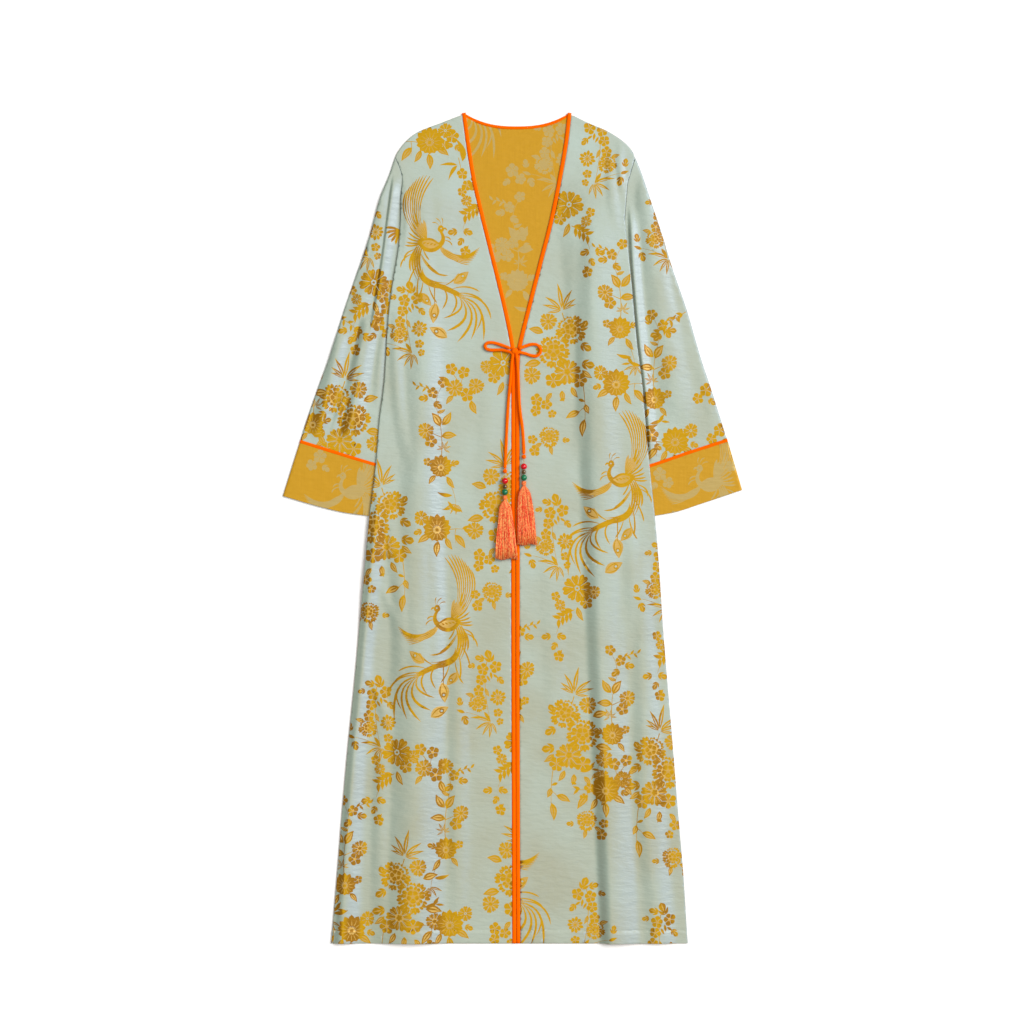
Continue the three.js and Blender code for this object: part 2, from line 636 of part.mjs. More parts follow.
// Bound edges
function frontBinding(side) {
  const topY = FRONT_EDGE[0].y;
  const centre = (t) => {
    const y = mix(topY, HEM_Y, t);
    return new THREE.Vector2(column(FRONT_EDGE, 'y', side, y), y);
  };
  const rowShares = FRONT_ROWS.map((v) => (topY - mix(EDGE_TOP_Y, HEM_Y, v)) / (topY - HEM_Y));
  return strip(centre, [0, ...rowShares], BINDING_WIDTH, () => FRONT_LOW, () => BINDING_TOP);
}

function neckBinding() {
  const reach = NECK_HALF_WIDTH - 1;
  const full = 60;
  const centre = (t) => {
    const x = NECK_CENTRE_X + mix(-reach, reach, t);
    return new THREE.Vector2(x, neckY(x));
  };
  const high = (t) => {
    const away = Math.abs(mix(-reach, reach, t));
    return mix(BINDING_HEIGHT, BACK_TOP, ease(full, full + 12, away));
  };
  return strip(centre, evenShares(20), NECK_BINDING_WIDTH, () => 0, high);
}

// Ties
function cord(points) {
  const curve = new THREE.CatmullRomCurve3(points.map((p) => new THREE.Vector3(...p)), false, 'centripetal');
  const sides = 8;
  const section = new THREE.Shape(Array.from({ length: sides }, (_, i) => {
    const angle = (2 * Math.PI * (i + 0.5)) / sides;
    return new THREE.Vector2(TIE_RADIUS * Math.cos(angle), TIE_RADIUS * Math.sin(angle));
  }));
  const steps = Math.min(24, Math.max(10, Math.round(curve.getLength() / (2.4 * TIE_RADIUS))));
  const geometry = new THREE.ExtrudeGeometry(section, { steps, bevelEnabled: false, extrudePath: curve });
  return welded(geometry);
}

function welded(geometry) {
  geometry.deleteAttribute('normal');
  geometry.deleteAttribute('uv');
  return mergeVertices(geometry, 1e-4);
}

const ellipsoid = (radiusX, radiusY, radiusZ, around, down) => welded(
  new THREE.SphereGeometry(1, around, down).scale(radiusX, radiusY, radiusZ),
);

function toManifold(geometry) {
  return new wasm.Manifold(new wasm.Mesh({
    numProp: 3,
    vertProperties: new Float32Array(geometry.attributes.position.array),
    triVerts: new Uint32Array(geometry.index.array),
  }));
}

function fromManifold(solid) {
  const result = solid.getMesh();
  return geometryFrom(Array.from(result.vertProperties), Array.from(result.triVerts));
}

// One strand of a tassel: three sides through a few centres, thicker towards its tip.
function strand(centres, radii) {
  const sides = 3;
  const positions = [];
  centres.forEach((centre, s) => {
    for (let i = 0; i < sides; i += 1) {
      const angle = (2 * Math.PI * i) / sides + Math.PI / 2;
      positions.push(
        centre.x + radii[s] * Math.cos(angle), centre.y, centre.z + radii[s] * Math.sin(angle),
      );
    }
  });
  const indices = [];
  for (let s = 0; s < centres.length - 1; s += 1) {
    for (let i = 0; i < sides; i += 1) {
      const a = s * sides + i;
      const b = s * sides + ((i + 1) % sides);
      indices.push(a, b, b + sides, a, b + sides, a + sides);
    }
  }
  const end = (centres.length - 1) * sides;
  indices.push(0, 2, 1, end, end + 1, end + 2);
  return facingOut(geometryFrom(positions, indices));
}

// Height that a tassel's lowest strands lie at: on the front, or on the bound edges.
function restHeight(x) {
  const leftOut = column(FRONT_EDGE, 'y', 'left', 0) - BINDING_WIDTH / 2;
  const rightOut = column(FRONT_EDGE, 'y', 'right', 0) + BINDING_WIDTH / 2;
  const onBinding = ease(leftOut - 4, leftOut - 1.5, x) * (1 - ease(rightOut + 1.5, rightOut + 4, x));
  return mix(FRONT_TOP, BINDING_TOP, onBinding) + SEAM_GAP;
}

// Tassel: a bound head with a wrapped collar, and strands that fan out over the front.
function tassel(end) {
  const topY = end.knotY - 39.1;
  const strandTop = topY - 14;
  const tipY = topY - TASSEL.length;
  const centreX = (y) => mix(end.x, end.tipX, clamp01((topY - y) / TASSEL.length));
  const profile = [
    [0, 0], [2.6, -0.3], [TASSEL.collarRadius, -1.6], [TASSEL.collarRadius, -3.6], [2.4, -5.2],
    [TASSEL.neckRadius, -7], [3.4, -9], [6.4, -12], [8.6, -16], [TASSEL.topHalfWidth, -21], [0, -21],
  ].map(([r, y]) => new THREE.Vector2(r, y));
  const head = new THREE.LatheGeometry(profile.reverse(), 12);
  const squash = (y) => mix(1, 0.5, ease(7, 14, -y));
  const p = head.attributes.position;
  for (let i = 0; i < p.count; i += 1) {
    const y = p.getY(i);
    p.setXYZ(i, centreX(topY + y) + p.getX(i), topY + y, BEAD_AXIS_Z + p.getZ(i) * squash(y));
  }
  let solid = toManifold(facingOut(welded(head)));
  STRAND_ROWS.forEach(({ layer, count }) => {
    for (let i = 0; i < count; i += 1) {
      const aside = ((i + 0.5) / count) * 2 - 1;
      const arch = Math.sqrt(1 - 0.55 * aside * aside);
      const place = (t) => {
        const y = mix(strandTop - 5, tipY + 1.5 * Math.sin(9 * aside + 2 * layer), t);
        const half = mix(TASSEL.topHalfWidth - 2.2, end.halfWidth - 1.1, t ** 0.8);
        const x = centreX(y) + aside * half;
        const spacing = mix(1.5, 2.1, t) * arch;
        const low = mix(BEAD_AXIS_Z - 3, restHeight(x) + 0.9, ease(0, 0.3, t));
        return new THREE.Vector3(x, y, low + layer * spacing);
      };
      const shares = [0, 0.3, 1];
      const radii = [0.5, 0.62, 0.85];
      const one = strand(shares.map(place), radii);
      solid = solid.add(toManifold(one));
    }
  });
  return fromManifold(solid);
}

const abaya = new THREE.Group();
const body = new THREE.Group();
const sleeves = new THREE.Group();
const ties = new THREE.Group();
abaya.add(body, sleeves, ties);

body.add(mesh('back_panel', backPanel(), 'brocade'));
body.add(mesh('binding_back_neck', neckBinding(), 'satin'));
for (const side of ['left', 'right']) {
  body.add(mesh(`front_${side}`, frontPanel(side), 'brocade'));
  body.add(mesh(`binding_front_${side}`, frontBinding(side), 'satin'));
  sleeves.add(mesh(`sleeve_${side}`, sleeve(side), 'brocade'));
  sleeves.add(mesh(`cuff_piping_${side}`, piping(side), 'satin'));
  sleeves.add(mesh(`cuff_${side}`, cuff(side), 'gold'));
}

const bowKnot = mesh(
  'bow_knot',
  ellipsoid(BOW_KNOT.radiusX, BOW_KNOT.radiusY, BOW_KNOT.radiusZ, 12, 8),
  'satin',
);
bowKnot.position.set(BOW_KNOT.x, BOW_KNOT.y, KNOT_Z);
ties.add(bowKnot);
for (const [name, route] of Object.entries(TIE_ROUTES)) ties.add(mesh(name, cord(route), 'satin'));

for (const end of TIE_ENDS) {
  const place = (piece, down) => {
    piece.position.set(end.x, end.knotY - down, BEAD_AXIS_Z);
    ties.add(piece);
  };
  const knot = mesh(
    `end_knot_${end.name}`,
    ellipsoid(END_KNOT_RADIUS, END_KNOT_RADIUS, END_KNOT_RADIUS, 10, 7),
    'satin',
  );
  place(knot, 0);
  const link = mesh(
    `bead_thread_${end.name}`,
    welded(new THREE.CylinderGeometry(LINK.radius, LINK.radius, LINK.length, 8)),
    'spacer',
  );
  const linkDown = END_KNOT_RADIUS + SEAM_GAP + LINK.length / 2;
  place(link, linkDown);
  const redDown = linkDown + LINK.length / 2 + SEAM_GAP + BEAD_RADIUS;
  place(mesh(`bead_red_${end.name}`, ellipsoid(BEAD_RADIUS, BEAD_RADIUS, BEAD_RADIUS, 12, 8), 'red'), redDown);
  const spacerDown = redDown + BEAD_RADIUS + SEAM_GAP + SPACER.half;
  const spacer = mesh(
    `bead_spacer_${end.name}`,
    ellipsoid(SPACER.radius, SPACER.half, SPACER.radius, 12, 6),
    'spacer',
  );
  place(spacer, spacerDown);
  const greenDown = spacerDown + SPACER.half + SEAM_GAP + BEAD_RADIUS;
  const green = mesh(`bead_green_${end.name}`, ellipsoid(BEAD_RADIUS, BEAD_RADIUS, BEAD_RADIUS, 12, 8), 'green');
  place(green, greenDown);
  ties.add(mesh(`tassel_${end.name}`, tassel(end), 'thread'));
}

export default abaya;
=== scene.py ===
"""Looks of an open-front brocade abaya that lies flat on its back on a pale floor, seen from above.

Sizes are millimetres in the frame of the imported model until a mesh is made. Left and right are those of
the view from above. Flat drawings, such as the figures woven into the cloth, are complex numbers x + iy.
"""
import bpy
import numpy as np
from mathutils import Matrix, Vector, geometry


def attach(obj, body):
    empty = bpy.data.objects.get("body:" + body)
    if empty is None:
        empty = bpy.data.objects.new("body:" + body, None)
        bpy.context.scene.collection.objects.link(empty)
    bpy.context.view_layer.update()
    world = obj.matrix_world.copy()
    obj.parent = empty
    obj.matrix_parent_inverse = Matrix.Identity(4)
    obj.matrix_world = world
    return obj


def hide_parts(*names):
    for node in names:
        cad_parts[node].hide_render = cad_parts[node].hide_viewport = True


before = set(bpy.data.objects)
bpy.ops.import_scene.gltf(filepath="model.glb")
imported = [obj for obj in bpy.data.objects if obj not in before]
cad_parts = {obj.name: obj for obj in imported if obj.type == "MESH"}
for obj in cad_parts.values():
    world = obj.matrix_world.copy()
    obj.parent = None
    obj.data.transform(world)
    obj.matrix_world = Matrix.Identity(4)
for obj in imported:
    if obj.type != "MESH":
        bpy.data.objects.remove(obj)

MM = 0.001
scene = bpy.context.scene
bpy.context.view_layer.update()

# Camera: straight above the robe, as far off as a catalogue camera, so that no edge of it leans. It takes in
# a field 1.63 m wide, centred 25 mm nearer the shoulders than the robe's middle.
PHOTO_WIDTH = 1632.0
CAMERA_CENTRE = (-0.8, 25.5)
CAMERA_HEIGHT = 4000.0

camera_data = bpy.data.cameras.new("camera")
camera_data.lens = camera_data.sensor_width * CAMERA_HEIGHT / PHOTO_WIDTH
camera = bpy.data.objects.new("camera", camera_data)
camera.location = (CAMERA_CENTRE[0] * MM, CAMERA_CENTRE[1] * MM, CAMERA_HEIGHT * MM)
scene.collection.objects.link(camera)
scene.camera = camera

# Ties: two bias tubes of orange satin, stuffed with cord and sewn to the front edges. They are tied in a
# bow at the foot of the V, and each tail lies down the front to an overhand knot.
CLOTH = 1.2
SEAM_GAP = 0.3
FRONT_LOW = CLOTH + SEAM_GAP
FRONT_TOP = FRONT_LOW + CLOTH
BINDING_TOP = FRONT_LOW + 2.2
TIE_DIAMETER = 5.0
ON_FRONT = FRONT_TOP + SEAM_GAP + TIE_DIAMETER / 2
ON_BINDING = BINDING_TOP + SEAM_GAP + TIE_DIAMETER / 2
BOW_AT = (3.4, 281.5, BINDING_TOP + SEAM_GAP + 4.4)
BOW_RADII = (5.8, 5.2, 4.4)
TIES = {
    "left": {
        "length": 0.278,
        "knot": (-12.0, 90.5, 8.0),
        "route": [
            (-3.1, 285.3, BOW_AT[2]), (-8, 287.5, 7.2), (-14, 289.9, ON_FRONT + 0.3), (-23, 293, ON_FRONT),
            (-33, 295.2, ON_FRONT), (-40.6, 294.2, ON_FRONT), (-43.8, 289.6, ON_FRONT), (-41, 285, ON_FRONT),
            (-34, 283.2, ON_FRONT), (-25, 283.4, ON_FRONT), (-16, 283.2, ON_FRONT), (-9, 281.4, 6.6),
            (-3.1, 279.6, BOW_AT[2] - 0.6), (0.3, 276.3, BOW_AT[2] - 0.8), (-0.6, 268, ON_BINDING + 0.3),
            (-2, 252, ON_BINDING), (-4, 228, ON_BINDING), (-6.4, 204, ON_FRONT + 0.2), (-8, 180, ON_FRONT),
            (-9.2, 158, ON_FRONT), (-10.4, 132, ON_FRONT), (-11.4, 110, ON_FRONT + 0.9), (-12, 94.4, 8),
        ],
    },
    "right": {
        "length": 0.248,
        "knot": (18.1, 113.4, 8.0),
        "route": [
            (9.9, 285.2, BOW_AT[2]), (15, 287.4, 7.2), (21.5, 289.8, ON_FRONT + 0.2), (31, 292.4, ON_FRONT),
            (39, 291.4, ON_FRONT), (44.2, 285.6, ON_FRONT), (43.6, 278.4, ON_FRONT), (37.6, 273.8, ON_FRONT),
            (29, 274.6, ON_FRONT), (21, 277.4, ON_FRONT + 0.2), (15, 278.8, 6.8),
            (9.9, 279.5, BOW_AT[2] - 0.6), (6.4, 276.3, BOW_AT[2] - 0.8), (7.4, 268, ON_BINDING + 0.3),
            (8.6, 250, ON_BINDING), (9.6, 226, ON_BINDING), (10.8, 200, ON_BINDING), (13, 178, ON_BINDING),
            (15.8, 158, ON_FRONT + 0.5), (17.2, 140, ON_FRONT + 0.3), (17.9, 126, ON_FRONT + 1.2),
            (18.1, 117.3, 8),
        ],
    },
}


def read_between(keys, values, at):
    """Values between the rows of a table: a cubic through every row, its slope there that of the line
    between the rows on either side."""
    order = np.argsort(keys)
    keys = np.asarray(keys, float)[order]
    values = np.asarray(values, float)[order]
    shape = (-1,) + (1,) * (values.ndim - 1)
    before = np.maximum(np.arange(len(keys)) - 1, 0)
    after = np.minimum(np.arange(len(keys)) + 1, len(keys) - 1)
    slopes = (values[after] - values[before]) / (keys[after] - keys[before]).reshape(shape)
    at = np.clip(np.asarray(at, float), keys[0], keys[-1])
    low = np.clip(np.searchsorted(keys, at) - 1, 0, len(keys) - 2)
    span = keys[low + 1] - keys[low]
    t = (at - keys[low]) / span
    if values.ndim > 1:
        span, t = span[..., None], t[..., None]
    step = t * t * (3 - 2 * t)
    bend = slopes[low] * span * t * (1 - t) ** 2 - slopes[low + 1] * span * t * t * (1 - t)
    return values[low] * (1 - step) + values[low + 1] * step + bend


def smooth_line(points, spacing):
    """Points a given distance apart on a smooth line through the given ones."""
    points = np.asarray(points, float)
    reach = np.concatenate([[0], np.cumsum(np.linalg.norm(np.diff(points, axis=0), axis=1))])
    return read_between(reach, points, np.linspace(0, reach[-1], int(reach[-1] / spacing) + 2))


def make_piece(name, points, *face_arrays, flow=None):
    """A mesh object at the origin, riding on the one body: points in millimetres, and faces as arrays of
    three or four corners each. flow is the UV of every corner, in millimetres of the cloth."""
    corners = np.concatenate([faces.ravel() for faces in face_arrays]).astype(np.int32)
    sizes = np.concatenate([np.full(len(faces), faces.shape[1]) for faces in face_arrays])
    starts = np.concatenate([[0], np.cumsum(sizes)[:-1]]).astype(np.int32)
    mesh = bpy.data.meshes.new(name)
    mesh.vertices.add(len(points))
    mesh.vertices.foreach_set("co", (np.asarray(points, float) * MM).astype(np.float32).ravel())
    mesh.loops.add(len(corners))
    mesh.loops.foreach_set("vertex_index", corners)
    mesh.polygons.add(len(sizes))
    mesh.polygons.foreach_set("loop_start", starts)
    mesh.update(calc_edges=True)
    mesh.polygons.foreach_set("use_smooth", np.ones(len(sizes), bool))
    if flow is not None:
        mesh.uv_layers.new(name="flow").uv.foreach_set("vector", flow.astype(np.float32).ravel())
    piece = bpy.data.objects.new(name, mesh)
    scene.collection.objects.link(piece)
    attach(piece, "root")
    return piece


def carried_rings(name, rings, along, around):
    """A closed piece from a stack of rings (station, point, xyz): quads from ring to ring, and a fan to the
    middle of each end ring. along and around are its UV: millimetres down the stack and round a ring."""
    stations, sides = rings.shape[:2]
    station, side = np.meshgrid(np.arange(stations - 1), np.arange(sides), indexing="ij")
    following = (side + 1) % sides
    quads = np.stack([
        station * sides + side, (station + 1) * sides + side,
        (station + 1) * sides + following, station * sides + following,
    ], axis=-1).reshape(-1, 4)
    quad_flow = np.stack([
        np.stack([along[station], around[side]], -1), np.stack([along[station + 1], around[side]], -1),
        np.stack([along[station + 1], around[side + 1]], -1),
        np.stack([along[station], around[side + 1]], -1),
    ], axis=2).reshape(-1, 2)
    first, last = stations * sides, stations * sides + 1
    edge = np.arange(sides)
    beside = (edge + 1) % sides
    end = (stations - 1) * sides
    fans = np.concatenate([
        np.stack([edge, beside, np.full(sides, first)], -1),
        np.stack([end + beside, end + edge, np.full(sides, last)], -1),
    ])
    fan_flow = np.repeat(np.array([[along[0], 0.0], [along[-1], 0.0]]), 3 * sides, axis=0)
    middles = np.stack([rings[0].mean(axis=0), rings[-1].mean(axis=0)])
    points = np.concatenate([rings.reshape(-1, 3), middles])
    return make_piece(name, points, quads, fans, flow=np.concatenate([quad_flow, fan_flow]))


def tube_along(name, line, radius, sides, flatness=1.0):
    """A tube round a line: each ring is an ellipse square to the line, level with the floor, and narrower
    upright than across by the flatness. Its ends are rounded off over one radius."""
    heading = np.gradient(line, axis=0)
    heading /= np.linalg.norm(heading, axis=1)[:, None]
    aside = np.cross(heading, (0, 0, 1))
    aside /= np.linalg.norm(aside, axis=1)[:, None]
    upright = np.cross(aside, heading)
    reach = np.concatenate([[0], np.cumsum(np.linalg.norm(np.diff(line, axis=0), axis=1))])
    radius = np.broadcast_to(radius, reach.shape)
    from_end = np.minimum(reach, reach[-1] - reach) / radius
    ends = np.sqrt(np.clip(1 - (1 - np.clip(from_end, 0, 1)) ** 2, 0.04, 1))
    angle = 2 * np.pi * np.arange(sides) / sides
    wide = (radius * ends)[:, None, None] * aside[:, None] * np.cos(angle)[None, :, None]
    tall = (radius * ends * flatness)[:, None, None] * upright[:, None] * np.sin(angle)[None, :, None]
    around = np.linspace(0, 2 * np.pi * radius.mean(), sides + 1)
    return carried_rings(name, line[:, None] + wide + tall, reach, around)


def linear(code):
    """An sRGB hex colour as linear red, green, blue and alpha."""
    parts = np.array([int(code[i:i + 2], 16) for i in (1, 3, 5)]) / 255
    parts = np.where(parts <= 0.04045, parts / 12.92, ((parts + 0.055) / 1.055) ** 2.4)
    return (*parts.tolist(), 1.0)


def add_node(material, kind, feeds=None, out=0, **settings):
    """Adds a shader node with its settings, and gives back the output that is asked for, or else the first.
    feeds maps an input to a value, or to the output that drives it."""
    made = material.node_tree.nodes.new("ShaderNode" + kind)
    for name, value in settings.items():
        setattr(made, name, value)
    for name, value in (feeds or {}).items():
        if isinstance(value, bpy.types.NodeSocket):
            material.node_tree.links.new(value, made.inputs[name])
        else:
            made.inputs[name].default_value = value
    return None if out is None else made.outputs[out]


def new_material(name):
    """An empty node material."""
    material = bpy.data.materials.new(name)
    material.use_nodes = True
    material.node_tree.nodes.clear()
    return material


def surfaced(material, **feeds):
    """Ends a material with its one surface shader. Inputs are named in lower case with underscores."""
    acronyms = {"Ior": "IOR"}
    words = {name: " ".join(acronyms.get(word.title(), word.title()) for word in name.split("_"))
             for name in feeds}
    shader = add_node(material, "BsdfPrincipled", {words[name]: value for name, value in feeds.items()})
    add_node(material, "OutputMaterial", {"Surface": shader}, out=None)
    return material


def mixed_colour(material, share, colour_at_0, colour_at_1):
    """The colour between two colours, each a hex code or an output, by a share from 0 to 1."""
    factor, first, second, result = 0, 6, 7, 2
    ends = [linear(c) if isinstance(c, str) else c for c in (colour_at_0, colour_at_1)]
    return add_node(material, "Mix", {factor: share, first: ends[0], second: ends[1]}, result,
                    data_type="RGBA")


def drawn_noise(material, place, scale, detail, slant=0):
    """A noise drawn out along its axes: the scale is how many lumps there are to a unit of each."""
    drawn = add_node(material, "Mapping",
                     {"Vector": place, "Scale": scale, "Rotation": (0, 0, np.radians(slant))})
    return add_node(material, "TexNoise", {"Vector": drawn, "Scale": 1.0, "Detail": detail})


def satin_material():
    """Polyester satin cut on the bias: smooth floats with a soft broad gloss and a faint slanting rib. The
    rib is drawn at 0.9 mm, some five times the real thread, so that it shows."""
    rib_pitch = 0.9
    waves_in_a_unit = 20 / (2 * np.pi)
    material = new_material("orange satin, bias cut")
    flow = add_node(material, "UVMap", uv_map="flow")
    slanted = add_node(material, "Mapping", {"Vector": flow, "Rotation": (0, 0, np.radians(45))})
    rib = add_node(material, "TexWave", {"Vector": slanted, "Scale": 1 / (rib_pitch * waves_in_a_unit),
                                         "Distortion": 0.6}, "Fac")
    pull = drawn_noise(material, flow, (0.05, 0.45, 1), 3.0)
    folds = add_node(material, "Bump", {"Height": pull, "Strength": 0.35, "Distance": 0.0006})
    relief = add_node(material, "Bump", {"Height": rib, "Strength": 0.25, "Distance": 0.00008,
                                         "Normal": folds})
    # Painted shade: the colour darkens in the hollows of the same noise that bumps the drag folds
    return surfaced(material, base_color=mixed_colour(material, pull, "#F45400", "#FA7200"), roughness=0.42,
                    specular_ior_level=0.3, specular_tint=linear("#FF7A18"), normal=relief)


satin = satin_material()


def dress(piece, material, slot, *nodes):
    """Gives a piece its material, and hides the nodes that it stands for. The slot is not used."""
    piece.data.materials.append(material)
    if nodes:
        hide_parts(*nodes)
    return piece


tie_pieces = {}
for side, tie in TIES.items():
    line = smooth_line(tie["route"], 1.1)
    reach = np.arange(len(line)) * 1.1
    stuffed = TIE_DIAMETER / 2 * (1 + 0.035 * np.sin(reach / 7.3) + 0.03 * np.sin(reach / 3.1 + 2))
    tie_pieces[side] = tube_along(f"tie_{side}_cord", line, stuffed, 16, flatness=0.9)
    dress(tie_pieces[side], satin, "orange_satin", f"tie_loop_{side}", f"tie_tail_{side}")
    tie["line"] = line

# Bow: one turn of the right tie's stuffed satin cord, drawn tight round the left tie. It folds into a small
# lumpy knot, which holds the two loops and closes the robe.
def knotted_ball(name, centre, radii, folds, depth, slant):
    """A knot of tube: a ball squeezed by slanting grooves. Its radius falls by the depth in each groove, and
    the grooves turn round the ball as they go down it."""
    down = np.linspace(0.03, np.pi - 0.03, 28)[:, None]
    round_it = np.linspace(0, 2 * np.pi, 40, endpoint=False)[None, :]
    groove = np.abs(np.cos(folds * round_it / 2 + slant * down)) ** 0.35
    size = 1 - depth * (1 - groove) * np.sin(down)
    flat = np.stack([
        size * np.sin(down) * np.sin(round_it), size * np.cos(down) * np.ones_like(round_it),
        size * np.sin(down) * np.cos(round_it),
    ], axis=-1)
    rings = np.asarray(centre) + flat * np.asarray(radii)
    return carried_rings(name, rings, down[:, 0] * radii[1], np.linspace(0, 6 * radii[0], 41))


bow_knot = knotted_ball("bow_wrap", BOW_AT, BOW_RADII, folds=4, depth=0.3, slant=0.9)
dress(bow_knot, satin, "orange_satin", "bow_knot")

# Tie ends: below its overhand knot each tie carries a waxed thread with a red bead, a smoky faceted one
# and a green one, all of polished resin.
KNOT_RADIUS = 3.6
THREAD_LENGTH = 6.4
THREAD_RADIUS = 0.7
THREAD_TWIST = 1.6
THREAD_IN_TASSEL = 50.0
BEAD_RADIUS = 5.0
SMOKY_RADIUS = 3.8
SMOKY_HALF = 3.55


def resin_material(name, colour, deep, clearness):
    """Polished cast resin: a wet gloss over a colour clouded by the pour, and partly clear if it is smoky."""
    cloud_size = 3.0
    material = new_material(name)
    place = add_node(material, "TexCoord", out="Object")
    cloud = add_node(material, "TexNoise", {"Vector": place, "Scale": 1 / (cloud_size * MM), "Detail": 2.0})
    return surfaced(material, base_color=mixed_colour(material, cloud, deep, colour), roughness=0.1, ior=1.5,
                    specular_ior_level=0.35, coat_weight=0.4, coat_roughness=0.03,
                    transmission_weight=clearness)


red_resin = resin_material("red resin, polished", "#E4001C", "#B60014", 0.0)
green_resin = resin_material("green resin, polished", "#008656", "#00482E", 0.0)
smoky_resin = resin_material("smoky resin, polished", "#8C6634", "#4F3517", 0.35)


def result_of(material, operation, *values):
    """The sum, product or other result of one or two values."""
    return add_node(material, "Math", dict(enumerate(values)), operation=operation)


def ranged(material, value, start=0.0, end=1.0, low=0.0, high=1.0):
    """A value that goes from low to high while the given one goes from start to end."""
    return add_node(material, "MapRange", {"Value": value, "From Min": start, "From Max": end, "To Min": low,
                                           "To Max": high})


def thread_material(name, pale, deep):
    """Rayon floss: fine bright filaments. Each thread takes its own tone from its place across the piece, and
    the filaments are a noise drawn out along it, 0.35 mm across, that lightens the colour as painted glints."""
    filament = 0.35
    material = new_material(name)
    flow = add_node(material, "UVMap", uv_map="flow")
    tone = drawn_noise(material, flow, (0.03, 1 / filament, 1), 1.0)
    painted_glint = drawn_noise(material, flow, (1 / (5 * filament), 1 / filament, 1), 1.0)
    # Painted highlight: the glint noise lifts the colour towards the pale one
    spread = ranged(material, result_of(material, "ADD", tone, painted_glint), 0.92, 1.16)
    return surfaced(material, base_color=mixed_colour(material, spread, deep, pale), roughness=0.5,
                    sheen_weight=0.08, sheen_roughness=0.35)


waxed_thread = thread_material("waxed thread", "#D9BE96", "#A88452")


def turned(name, centre, profile, sides=28, flute=0.0, flutes=7):
    """A turned shape round the upright line of the picture through its centre: rows of radius and distance
    up, with each radius cut back by the flute share between the flutes."""
    radius, up = np.asarray(profile, float).T
    angle = 2 * np.pi * np.arange(sides) / sides
    cut = 1 - flute * (1 - np.abs(np.cos(flutes * angle / 2)))
    rings = np.stack([
        centre[0] + radius[:, None] * cut * np.sin(angle), centre[1] + up[:, None] * np.ones(sides),
        centre[2] + radius[:, None] * cut * np.cos(angle),
    ], axis=-1)
    return carried_rings(name, rings, -up, np.linspace(0, 2 * np.pi * radius.max(), sides + 1))


def bead_profile(radius, half, bore):
    """Half a circle from the rim of the bore at the top to its rim below, with the bore sunk at both ends."""
    turn = np.linspace(bore, np.pi - bore, 22)
    rows = np.stack([radius * np.sin(turn), half * np.cos(turn)], axis=1)
    sunk = np.array([rows[0, 0] * 0.7, rows[0, 1] - 0.8])
    return np.vstack([sunk, rows, sunk * (1, -1)])


for side, tie in TIES.items():
    x, y, z = tie["knot"]
    knot = knotted_ball(f"overhand_knot_{side}", (x, y, z), (KNOT_RADIUS,) * 3, folds=3, depth=0.28,
                        slant=1.6)
    dress(knot, satin, "orange_satin", f"end_knot_{side}")
    thread_low = y - KNOT_RADIUS - SEAM_GAP - THREAD_LENGTH
    red_y = thread_low - SEAM_GAP - BEAD_RADIUS
    red = turned(f"red_bead_{side}", (x, red_y, z), bead_profile(BEAD_RADIUS, BEAD_RADIUS, 0.22))
    smoky_y = red_y - BEAD_RADIUS - SEAM_GAP - SMOKY_HALF
    smoky = turned(f"smoky_bead_{side}", (x, smoky_y, z), bead_profile(SMOKY_RADIUS, SMOKY_HALF, 0.3),
                   flute=0.12)
    green_y = smoky_y - SMOKY_HALF - SEAM_GAP - BEAD_RADIUS
    green = turned(f"green_bead_{side}", (x, green_y, z), bead_profile(BEAD_RADIUS, BEAD_RADIUS, 0.22))
    dress(red, red_resin, "bead_red", f"bead_red_{side}")
    dress(smoky, smoky_resin, "bead_spacer", f"bead_spacer_{side}")
    dress(green, green_resin, "bead_green", f"bead_green_{side}")
    tie["on_thread"] = [red, smoky, green]
    tie["end_knot"] = knot
    tie["tassel_top"] = green_y - BEAD_RADIUS - SEAM_GAP

# Tassels: a hank of orange rayon floss doubled over a ring and bound with a collar of the same thread. Its
# strands fan out flat over the front, each a little different in tone, with painted highlights and glints
# that make some of them paler.
TASSEL_LENGTH = 101.5
TASSEL_FANS = {"left": {"tip_x": -9.6, "half": 18.0}, "right": {"tip_x": 23.6, "half": 16.0}}
STRANDS = 430
TIP_WAVE = 1.3
TIP_UNEVEN = (-0.3, 2.4)
STRAND_WANDER = 0.45
COLLAR_HEIGHT = 6.2
COLLAR_TURNS = 6
COLLAR_PITCH = 0.95
COLLAR_RADIUS = 3.35
COLLAR_THREAD = 0.45

orange_floss = thread_material("orange rayon floss", "#FFB162", "#E63E00")


def strand_bundle(name, lines, radius):
    """Many four-sided strands as one mesh. lines is strands x stations x xyz, each running down the picture;
    a strand's section is a diamond upright to the picture, of a radius given station by station."""
    count, stations = lines.shape[:2]
    corner = np.array([(1, 0, 0), (0, 0, 1), (-1, 0, 0), (0, 0, -1)], float)
    points = lines[:, :, None] + radius[None, :, None, None] * corner
    strand, station, side = np.meshgrid(np.arange(count), np.arange(stations - 1), np.arange(4),
                                        indexing="ij")
    base = strand * stations * 4
    quads = np.stack([
        base + station * 4 + side, base + station * 4 + (side + 1) % 4,
        base + (station + 1) * 4 + (side + 1) % 4, base + (station + 1) * 4 + side,
    ], axis=-1).reshape(-1, 4)
    ends = np.arange(count)[:, None] * stations * 4
    caps = np.concatenate([ends + [3, 2, 1, 0], ends + (stations - 1) * 4 + [0, 1, 2, 3]])
    across = np.repeat(np.arange(count) * 1.7, (stations - 1) * 4)
    down = station.ravel() * 10.0
    flow = np.stack([
        np.stack([down, across], -1), np.stack([down, across], -1),
        np.stack([down + 10, across], -1), np.stack([down + 10, across], -1),
    ], axis=1).reshape(-1, 2)
    cap_flow = np.repeat(np.stack([np.zeros(2 * count), np.tile(np.arange(count) * 1.7, 2)], -1), 4, axis=0)
    return make_piece(name, points.reshape(-1, 3), quads, caps, flow=np.concatenate([flow, cap_flow]))


